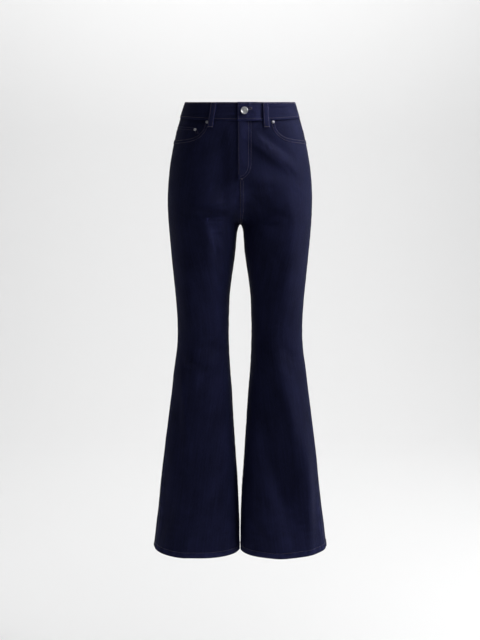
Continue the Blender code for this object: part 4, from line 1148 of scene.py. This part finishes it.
turn = np.radians(np.linspace(0.0, 84.0, 40))
level = np.concatenate([FLY_TOP - spread(FLY_TOP - FLY_STRAIGHT, 0.0022)[:-6],
                        FLY_STRAIGHT + (FLY_END - FLY_STRAIGHT) * np.sin(turn)])
outer = fly_outer(level)
share = (spread(0.032, 0.0011) / 0.032)[None, :]
x = FLY_EDGE + (outer[:, None] - FLY_EDGE) * share
height = np.broadcast_to(level[:, None], x.shape)
along = place_of_x(x, height)
away = np.minimum(x - FLY_EDGE, outer[:, None] - x)
wall = 0.0003 + (FLY_WALL - 0.0003) * (1 - ease(share * 1.1)) + 0 * x
lift = fly_lift(x, height)
flap = cloth_patch("fly_flap_cloth", +1, along, height, lift, wall, away,
                   wear_and_painted_light=0.22 * ease((height + 0.190) / 0.09) + 0.5 * bell(x - FLY_EDGE, 0.0015))
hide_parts("fly_flap")


def on_fly(x, height):
    """Points and normals on the fly's face."""
    return lifted(+1, place_of_x(x, height), height, fly_lift(x, height))


fly_rows = []
bend = np.sin(np.radians(np.arange(2, 84, 2)))
for inset in (FLY_ROW, 0.0076):
    reach = FLY_STRAIGHT - FLY_END - inset
    level = np.concatenate([np.arange(-0.0275, FLY_STRAIGHT, -STITCH_STEP), FLY_STRAIGHT - reach * bend])
    down = np.clip((FLY_STRAIGHT - level) / reach, 0.0, 1.0)
    x = FLY_EDGE + FLY_ROW + (FLY_WIDTH - FLY_EDGE - inset - FLY_ROW) * np.sqrt(1.0 - down ** 2)
    fly_rows.append(on_fly(x, level))
level = np.arange(-0.0290, FLY_END + 0.012, -STITCH_STEP)
fly_rows.append(on_fly(np.full(level.shape, FLY_EDGE + 0.0018), level))
sew("fly_topstitching", fly_rows)
point, normal = on_fly(np.array([0.0020]), np.array([-0.1615]))
fly_bars = bar(point[0], normal[0], np.array([1.0, 0.0, -0.15]), 0.0085, 0.0020)

tape_paint = cloth_material("woven_tape", (0.020, 0.021, 0.045), (0.008, 0.009, 0.022), 0.4)
x, height = np.meshgrid(np.linspace(-ZIP_HALF_WIDTH, ZIP_HALF_WIDTH, 25), np.linspace(ZIP_TOP, ZIP_END, 60))
along = place_of_x(x, height)
tape = cloth_patch("zip_tapes", +1, along, height, np.full(x.shape, -0.0024), 0.0007,
                   ZIP_HALF_WIDTH - np.abs(x) + 0.0001, paints=(tape_paint, tape_paint))
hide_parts("zip")
corner = np.array([(a, b, c) for a in (-0.5, 0.5) for b in (-0.5, 0.5) for c in (-0.5, 0.5)])
block = np.array([(0, 1, 3, 2), (4, 6, 7, 5), (0, 4, 5, 1), (2, 3, 7, 6), (0, 2, 6, 4), (1, 5, 7, 3)])


def blocks(offset, level, deep, size, upright):
    """Corners of boxes behind the cloth, each of a width, depth and height, at x offsets and heights."""
    seat, out = on_leg(place_of_x(offset, level), level)
    ahead = np.array([1.0, 0.0, 0.0])
    down = np.array([[0.0, 0.0, -1.0]]) if upright else unit(np.cross(ahead, out))
    return ((seat - out * deep)[:, None] + corner[:, 0, None] * size[0] * ahead
            + corner[:, 1, None] * size[1] * out[:, None] + corner[:, 2, None] * size[2] * down[:, None])


level = np.arange(ZIP_TOP - 0.006, ZIP_END + 0.004, -ZIP_PITCH / 2)
lean = np.where(np.arange(len(level)) % 2, 0.0007, -0.0007)
teeth = blocks(lean, level, 0.0037, (0.0031, 0.0011, 0.00085), False)
slider = blocks(np.zeros(1), np.array([ZIP_TOP - 0.004]), 0.0040, (0.0080, 0.0030, 0.0090), True)
boxes = np.concatenate([teeth, slider])
mesh = bpy.data.meshes.new("zip_teeth")
mesh.from_pydata(boxes.reshape(-1, 3), [], (np.arange(len(boxes))[:, None, None] * 8 + block).reshape(-1, 4))
add_piece("zip_teeth", mesh, "silver_metal", silver)

# ------------------------------------------------------------------------------ yokes and back pockets
# Behind, a yoke shaped to the hip joins each back panel to the waistband with a felled, double-stitched seam.
# Each back panel carries a patch pocket with a pointed foot, its edges turned under and double-stitched.
POCKET_WIDTH = 0.1320
POCKET_TAPER = 0.0060
POCKET_SIDE = 0.1180
POCKET_POINT = 0.0200
POCKET_TOP = -0.1150
POCKET_CENTRE = 0.1320
POCKET_HEM = 0.0150


def yoke_lift(side, along, height):
    """A yoke moves with the back panel under it. Its lower edge lies over the panel's allowance and stands
    0.5 mm up over the width of the fell."""
    share = -along / half_length(height, False)
    up = height - yoke_seam(share)
    middle = half_length(height, False) + along
    lift = soft_lift(side, False, along, height) + 0.0005 * ease((FELL + 0.001 - up) / 0.002)
    lift = lift + 0.00035 * pucker(along, up, 0.0095, 0.012, 71 + side) - 0.0007 * bell(up, 0.0010)
    if side > 0:
        lift = lift + 0.0005 * ease((FELL + 0.0012 - middle) / 0.002)
    return lift - 0.0008 * bell(middle, 0.0011) - 0.0008 * bell(along, 0.0011)


yoke_rows = []
for side, name in ((+1, "left"), (-1, "right")):
    share = panel_shares(False, np.array(-0.06))[None, :]
    guide = -share * half_length(-0.03, False)
    top, foot = band_seam(guide) + TUCK, yoke_seam(share)
    rows = (spread(0.050, 0.0022) / 0.050)[:, None]
    height = top * (1 - rows) + foot * rows
    along = SEAM_LAP / 2 - share * (half_length(height, False) + SEAM_LAP)
    lift = yoke_lift(side, along, height)
    yoke = cloth_mesh("yoke_cloth_" + name, side, along, height, lift, lift - DENIM,
                      0.4 * bell(height - foot - 0.004, 0.004))
    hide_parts("yoke_" + name)
    line = np.linspace(0.0006, 0.9994, 200)
    for inset in (0.0018, 0.0076):
        level = yoke_seam(line) + inset
        a = -line * half_length(level, False)
        yoke_rows.append(lifted(side, a, level, yoke_lift(side, a, level)))
level = np.arange(YOKE_CENTRE + 0.002, -0.018, STITCH_STEP)
for inset in (0.0017, 0.0076):
    a = inset - half_length(level, False)
    yoke_rows.append(lifted(+1, a, level, yoke_lift(+1, a, level)))
sew("yoke_topstitching", yoke_rows)


def pocket_place(down, across):
    """Way round the ring and height at a share down a back pocket and across it from -1 to 1: its sides come
    in a little and its foot hangs to a point."""
    point = POCKET_POINT * (1.0 - np.abs(across))
    drop = down * (POCKET_SIDE + point)
    half = POCKET_WIDTH / 2 - POCKET_TAPER * np.clip(drop / POCKET_SIDE, 0.0, 1.0)
    return -POCKET_CENTRE - across * half, POCKET_TOP - drop


def pocket_lift(side, down, across):
    """How far a back pocket's face stands off the plain form. It is pressed flat along its edges, a little
    slack in the middle, 0.4 mm higher over the turned edges, and its mouth stands off by 1 mm."""
    along, height = pocket_place(down, across)
    drop = POCKET_TOP - height
    inward = (1 - np.abs(across)) * (POCKET_WIDTH / 2)
    up = (1 - down) * (POCKET_SIDE + POCKET_POINT * (1.0 - np.abs(across)))
    away = np.minimum(inward, up)
    lift = panel_lift(side, False, along, height) + 0.0003 + DENIM
    lift = lift + 0.0007 * ease(away / 0.030) + 0.0004 * ease((0.0105 - away) / 0.0015)
    lift = lift + 0.0005 * ease((POCKET_HEM - drop) / 0.0015)
    lift = lift + 0.0010 * ease(1 - drop / 0.02) * ease(inward / 0.03)
    lift = lift + 0.0004 * hills(along / 0.035, height / 0.040, 81 + side) * ease(away / 0.02)
    return lift + 0.00035 * pucker(height + along, away, 0.0100, 0.010, 83 + side) * ease(away / 0.001)


def on_pocket(side, down, across):
    """Points and normals on a back pocket's face."""
    return lifted(side, *pocket_place(down, across), pocket_lift(side, down, across))


back_rows, back_bars = [], []
for side, name in ((+1, "left"), (-1, "right")):
    across = (spread(2.0, 0.034, (0.0, 0.002, 0.006, 0.013, 0.024, 0.042)) - 1.0)[None, :]
    down = spread(1.0, 0.016, (0.0, 0.001, 0.003, 0.006, 0.011, 0.019))[:, None]
    down, across = np.broadcast_arrays(down, across)
    along, height = pocket_place(down, across)
    away = np.minimum((1 - np.abs(across)) * POCKET_WIDTH / 2, np.minimum(down, 1 - down) * POCKET_SIDE)
    lift = pocket_lift(side, down, across)
    pocket = cloth_patch("back_pocket_cloth_" + name, side, along, height, lift, DENIM, away,
                         wear_and_painted_light=0.6 * bell(away, 0.0018) + 90.0 * np.clip(lift - 0.0028, 0.0, 0.004))
    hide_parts("back_pocket_" + name)
    for inset in (0.0018, 0.0078):
        foot = 1.0 - inset / 0.128
        rim = 1.0 - inset / (POCKET_WIDTH / 2)
        start = 0.002 / POCKET_SIDE
        a = np.concatenate([np.full(100, -rim), np.linspace(-rim, rim, 120)[1:-1], np.full(100, rim)])
        d = np.concatenate([np.linspace(start, foot, 100), np.full(118, foot), np.linspace(foot, start, 100)])
        back_rows.append(on_pocket(side, d, a))
    for inset in (0.0098, 0.0138):
        a = np.linspace(-0.985, 0.985, 120)
        d = inset / (POCKET_SIDE + POCKET_POINT * (1.0 - np.abs(a)))
        back_rows.append(on_pocket(side, d, a))
    for end in (-0.972, 0.972):
        point, normal = on_pocket(side, np.array([0.045]), np.array([end]))
        back_bars += bar(point[0], normal[0], np.array([0.0, 0.0, 1.0]), 0.0090, 0.0021)
sew("back_pocket_topstitching", back_rows)

# ------------------------------------------------------------------------------ waistband and button
# A folded band with interlining, 38 mm tall, topstitched along both edges. Its left end laps over the right
# and is closed by a shank button through a worked buttonhole.
BAND_WALL = 0.0022
BAND_PROUD = 0.0008
TAB_END = -0.0060
UNDERLAP = 0.0280
TAB_FLAT = 0.0340
TAB_RAMP = 0.0540
BUTTON_X = 0.0102
BUTTON_Z = -0.0030
HOLE_START = 0.0072
HOLE_END = 0.0262
HOLE_Z = 0.0022
HOLE_HALF = 0.0012


def band_crest(y):
    """Height of the waistband's top edge."""
    return BAND_TOP + BAND_SLOPE * y


def band_lift(side, share, down):
    """How far the band's face stands off the plain form. Its left end lies 3.4 mm higher, on the underlap.
    The sewing along both edges draws short waves, the cloth between is slightly uneven, and a crease runs
    along the left front. Round the button the tab is pulled in."""
    points, _ = on_ring(share, 0.0)
    x, y = points[..., 0], points[..., 1]
    lift = BAND_PROUD + 0.0004 * hills(share * 5.5, down * 1.7, 91 + side)
    lift = lift + 0.00022 * hills(share * 17.0, down * 3.1, 93 + side)
    run = share * 0.19
    below, under = down * BAND_HEIGHT, (1 - down) * BAND_HEIGHT
    lift = lift + 0.00026 * pucker(run, below, 0.0105, 0.007, 95 + side)
    lift = lift + 0.00034 * pucker(run, under, 0.0098, 0.009, 97 + side)
    if side > 0:
        lift = lift + (BAND_WALL + 0.0012) * (y < 0) * ease((TAB_RAMP - x) / (TAB_RAMP - TAB_FLAT))
        ahead = (y < 0) * ease((x - 0.055) / 0.02) * ease((0.132 - x) / 0.02)
        crease = below - 0.03 * (x - 0.09)
        lift = lift - 0.0009 * ahead * bell(crease - 0.0125, 0.0028)
        lift = lift + 0.0006 * ahead * bell(crease - 0.0075, 0.0030)
        off = np.hypot(x - BUTTON_X, BAND_TOP - below - BUTTON_Z)
        lift = lift - 0.0006 * bell(off, 0.009) * (y < 0)
    return lift


def band_rows(share, down):
    """Heights on the band at a share of the way down it."""
    points, _ = on_ring(share, 0.0)
    crest = band_crest(points[..., 1])
    return crest * (1 - down) + band_foot(points[..., 0], points[..., 1]) * down


def on_band(side, share, down, height):
    """Points and normals on the band's face, at a share round the ring and a height."""
    points, normals = on_ring(share, height)
    flip = np.array([side, 1.0, 1.0])
    return (points + normals * band_lift(side, share, down)[:, None]) * flip, normals * flip


length = half_length(0.0, True)
back_length = half_length(0.0, False)
band_stitches = []
for side, name, start in ((+1, "left", TAB_END), (-1, "right", -UNDERLAP)):
    run = spread(length - start + back_length + 0.0008, 0.0024)[None, :]
    left = length - start - run
    share = left / np.where(left > 0, length, back_length)
    down = (spread(BAND_HEIGHT, 0.0017) / BAND_HEIGHT)[:, None]
    share, down = np.broadcast_arrays(share, down)
    height = band_rows(share, down)
    along = share * np.where(share > 0, half_length(height, True), half_length(height, False))
    below, under = down * BAND_HEIGHT, (1 - down) * BAND_HEIGHT
    away = np.minimum(np.minimum(run, run[0, -1] - run), np.minimum(below, under))
    lift = band_lift(side, share, down)
    wear_and_painted_light = 0.55 * bell(below, 0.0016) + 0.4 * bell(under, 0.002)
    wear_and_painted_light = wear_and_painted_light + 120.0 * np.clip(lift - BAND_PROUD - 0.0004, 0.0, 0.001)
    if side > 0:
        patchy = 0.75 + 0.5 * hills(run / 0.012, down * 3.0, 99)
        wear_and_painted_light = wear_and_painted_light + 0.15 + 0.45 * ease((0.056 - run) / 0.012) * patchy
    band = cloth_patch("waistband_cloth_" + name, side, along, height, lift, BAND_WALL, away, wear_and_painted_light,
                       paints=(denim, denim), across=True)
    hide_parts("waistband_" + name)
    edge = np.linspace(share[0, 0] - 0.008, -0.9995, 500)
    for line, inset in ((edge, 0.0030 / BAND_HEIGHT), (edge, 1 - 0.0042 / BAND_HEIGHT),
                        (np.full(30, share[0, 0] - 0.0030 / length), np.linspace(0.09, 0.89, 30))):
        band_stitches.append(on_band(side, line, inset, band_rows(line, inset)))
sew("waistband_topstitching", band_stitches)


def on_tab(x, height):
    """Points and normals on the face of the band's left end."""
    share = 1.0 - x / length
    return on_band(+1, share, (band_rows(share, 0.0) - height) / BAND_HEIGHT, height)


turn = np.linspace(0.0, 2 * np.pi, 110, endpoint=False)
cos, sin = np.cos(turn), np.sin(turn)
square_x, square_z = np.sign(cos) * np.abs(cos) ** 0.35, np.sign(sin) * np.abs(sin) ** 0.5
hole_x = (HOLE_START + HOLE_END) / 2 + (HOLE_END - HOLE_START) / 2 * square_x
hole_z = HOLE_Z + HOLE_HALF * square_z
hole, hole_up = on_tab(hole_x, hole_z)
outward, _ = on_tab(hole_x + 0.0024 * cos ** 3, hole_z + 0.0022 * square_z)
hole_rows = [(np.stack([a, b]), np.stack([n, n])) for a, b, n in zip(hole, outward, hole_up)]
sew("buttonhole", hole_rows, 1.0, 0.0024, 0.00030)

BUTTON = in_metres(Turn, (
    (4.2, -1.4), (4.2, 1), (6, 1.5), (7.8, 1.8), (8.4, 2.2), (8.6, 2.8), (8.5, 3.4), (8.2, 3.9), (7.7, 4.2),
    (7.1, 4.2), (6.6, 3.9), (6.3, 3.6), (5.2, 3.5), (4.9, 3.7), (4.6, 3.7), (4.3, 3.5), (2.2, 3.5),
    (1.8, 3.8), (0.8, 3.9)))
seat, axis = front_seat(BUTTON_X, BUTTON_Z, BAND_PROUD + BAND_WALL + 0.0017)
button = turned("shank_button", BUTTON, seat, axis, silver, 72)
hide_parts("button")

# ------------------------------------------------------------------------------ belt loops
# Five folded strips of denim, 14 mm wide, bar-tacked at the band's top edge and below its lower seam, and
# clear between so that a belt goes through. Two rows of topstitching run down each.
LOOP_WIDTH = 0.0140
LOOP_WALL = 0.0018
LOOP_TOP = 0.0180
LOOP_FOOT = -0.0410
LOOP_BULGE = 0.0022
REAR_LOOP = 0.36            # share of the back's half ring from the outseam to the rear loops


def loop_lift(share):
    """How far a belt loop's face stands off the plain form, from its top to its foot: on the band's face at
    both ends of it, clear between, and down on the panel's face at the foot."""
    base = BAND_PROUD * (1.0 - ease((share - 0.70) / 0.18)) + LOOP_WALL + 0.0002
    return base + LOOP_BULGE * np.sin(np.pi * np.clip(share * 1.03, 0.0, 1.0)) ** 0.8


loop_rows, loop_bars = [], []
Loop = namedtuple("Loop", "name side x_top x_foot rise")
LOOPS = (
    Loop("front_left", +1, 0.0592, 0.0632, -0.0012),
    Loop("front_right", -1, 0.0625, 0.0692, -0.0012),
    Loop("rear_left", +1, None, None, 0.0010),
    Loop("rear_right", -1, None, None, 0.0010),
    Loop("back", +1, None, None, 0.0022),
)
for number, (name, side, x_top, x_foot, rise) in enumerate(LOOPS):
    share = (spread(LOOP_TOP - LOOP_FOOT, 0.0012) / (LOOP_TOP - LOOP_FOOT))[:, None]
    level = LOOP_TOP * (1 - share) + LOOP_FOOT * share + rise
    if x_top:
        centre = place_of_x(x_top * (1 - share) + x_foot * share, level)
    else:
        centre = -half_length(level, False) * (1.0 if name == "back" else REAR_LOOP)
    half = LOOP_WIDTH / 2
    aside = (spread(LOOP_WIDTH, 0.0009) - half)[None, :]
    skew = 0.0010 * np.sin(3.0 * share + number)
    along, height = centre + aside + skew, np.broadcast_to(level, (len(share), aside.shape[1]))
    away = np.minimum(half - np.abs(aside), np.minimum(share, 1 - share) * (LOOP_TOP - LOOP_FOOT))
    lift = loop_lift(share) - 0.0005 * (aside / half) ** 2
    lift = lift + 0.0008 * (ease((0.075 - share) / 0.02) + ease((share - 0.915) / 0.02))
    lift = lift + 0.0002 * hills(share * 9, aside / 0.006 + number, 101 + number)
    loop = cloth_patch("belt_loop_cloth_" + name, side, along, height, lift, LOOP_WALL, away,
                       wear_and_painted_light=0.6 * bell(half - np.abs(aside), 0.0012) + 0.42, paints=(denim, denim))
    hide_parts("belt_loop_" + name)
    under = "waistband_left" if side > 0 else "waistband_right"
    for inset in (-half + 0.0022, half - 0.0022):
        a = (centre + inset + skew)[4:-4, 0]
        loop_rows.append(lifted(side, a, level[4:-4, 0], (loop_lift(share) - 0.0002)[4:-4, 0]))
    for end in (0.035, 0.962):
        level_at = LOOP_TOP * (1 - end) + LOOP_FOOT * end + rise
        a = np.interp(end, share[:, 0], (centre + skew)[:, 0])
        points, normals = lifted(side, np.array([a, a + 0.001]), level_at, loop_lift(end) + 0.0006)
        loop_bars += bar(points[0], normals[0], points[1] - points[0], 0.0115, 0.0020)
sew("loop_topstitching", loop_rows)
sew("bar_tacks", leg_bars + pocket_bars + fly_bars + back_bars + loop_bars, 1.0, 0.0020, 0.00030)

# ------------------------------------------------------------------------------ floor, light and camera
# A pale sweep well below the hems. A soft light high on the wearer's left, two beside it for the edge, weak
# fills from the other side, below and above, one for the back, and lights on the sweep alone.
SWEEP_FLOOR = -1.60
SWEEP_WALL = 5.0
SWEEP_BEND = 1.6


def sweep():
    """Floor and wall in one: level, then a quarter circle up, then an upright wall."""
    bend = np.linspace(0.0, np.pi / 2, 25)
    y = np.concatenate([[-6.0], SWEEP_WALL - SWEEP_BEND + SWEEP_BEND * np.sin(bend), [SWEEP_WALL]])
    z = np.concatenate([[SWEEP_FLOOR], SWEEP_FLOOR + SWEEP_BEND * (1 - np.cos(bend)), [7.0]])
    x = np.array([-9.0, 9.0])
    points = np.stack(np.broadcast_arrays(x[None, :], y[:, None], z[:, None]), axis=-1).reshape(-1, 3)
    first = 2 * np.arange(len(y) - 1)
    faces = np.stack([first, first + 1, first + 3, first + 2], axis=1)
    mesh = bpy.data.meshes.new("floor")
    mesh.from_pydata(points, [], faces)
    mesh.shade_smooth()
    mesh.materials.append(shader_of("pale_paper", Base_Color=(0.84, 0.84, 0.84, 1.0), Roughness=0.9)[0])
    floor = bpy.data.objects.new("floor", mesh)
    bpy.context.collection.objects.link(floor)


def soft_light(name, place, target, width, height, power, spread=180.0):
    """Rectangular studio light that faces its target. A grid on it narrows its spread, in degrees."""
    lamp = bpy.data.lights.new(name, "AREA")
    lamp.shape = "RECTANGLE"
    lamp.size, lamp.size_y, lamp.energy = width, height, power
    lamp.spread = np.radians(spread)
    light = bpy.data.objects.new(name, lamp)
    light.location = place
    light.rotation_euler = (Vector(target) - Vector(place)).to_track_quat("-Z", "Y").to_euler()
    bpy.context.collection.objects.link(light)


sweep()
soft_light("key", (2.22, -1.04, 1.56), (0, 0, -0.5), 1.2, 1.8, 72.0)
soft_light("edge", (2.43, 0.21, 0.49), (0, 0, -0.4), 1.2, 1.8, 30.0)
soft_light("rim", (2.96, 1.08, 0.06), (0, 0, -0.5), 1.2, 1.8, 18.0)
soft_light("fill", (-3.02, -0.85, 0.06), (0, 0, -0.5), 1.2, 1.8, 9.0)
soft_light("low_left", (-1.49, -1.78, -1.52), (0, 0, -0.9), 1.2, 1.8, 7.0)
soft_light("top", (0.0, -1.2, 1.88), (0, 0, -0.2), 1.2, 1.8, 5.0)
soft_light("waist", (1.84, -0.47, 1.34), (0.10, 0.0, 0.08), 0.5, 0.5, 0.6, 18.0)
soft_light("wall", (0.0, 2.3, 3.2), (0.0, 5.0, 0.2), 5.0, 0.8, 172.0)
soft_light("floor_left", (-1.6, 0.9, -0.1), (-0.7, 1.1, -1.6), 1.2, 1.0, 4.0)
soft_light("back", (0.8, 3.0, 1.9), (0, 0, -0.5), 1.2, 1.8, 8.0)
world = bpy.data.worlds.new("studio")
world.use_nodes = True
world.node_tree.nodes["Background"].inputs["Color"].default_value = (0.93, 0.96, 1.0, 1.0)
world.node_tree.nodes["Background"].inputs["Strength"].default_value = 0.02
bpy.context.scene.world = world
bpy.context.scene.view_settings.view_transform = "Standard"

CAMERA_PLACE = (0.0, -3.3, -0.079)
CAMERA_DOWN = 7.45          # degrees below level
lens = bpy.data.cameras.new("camera")
lens.lens = 75.94
lens.sensor_width = 36.0
camera = bpy.data.objects.new("camera", lens)
camera.location = CAMERA_PLACE
camera.rotation_euler = (np.radians(90.0 - CAMERA_DOWN), 0.0, 0.0)
bpy.context.collection.objects.link(camera)
bpy.context.scene.camera = camera
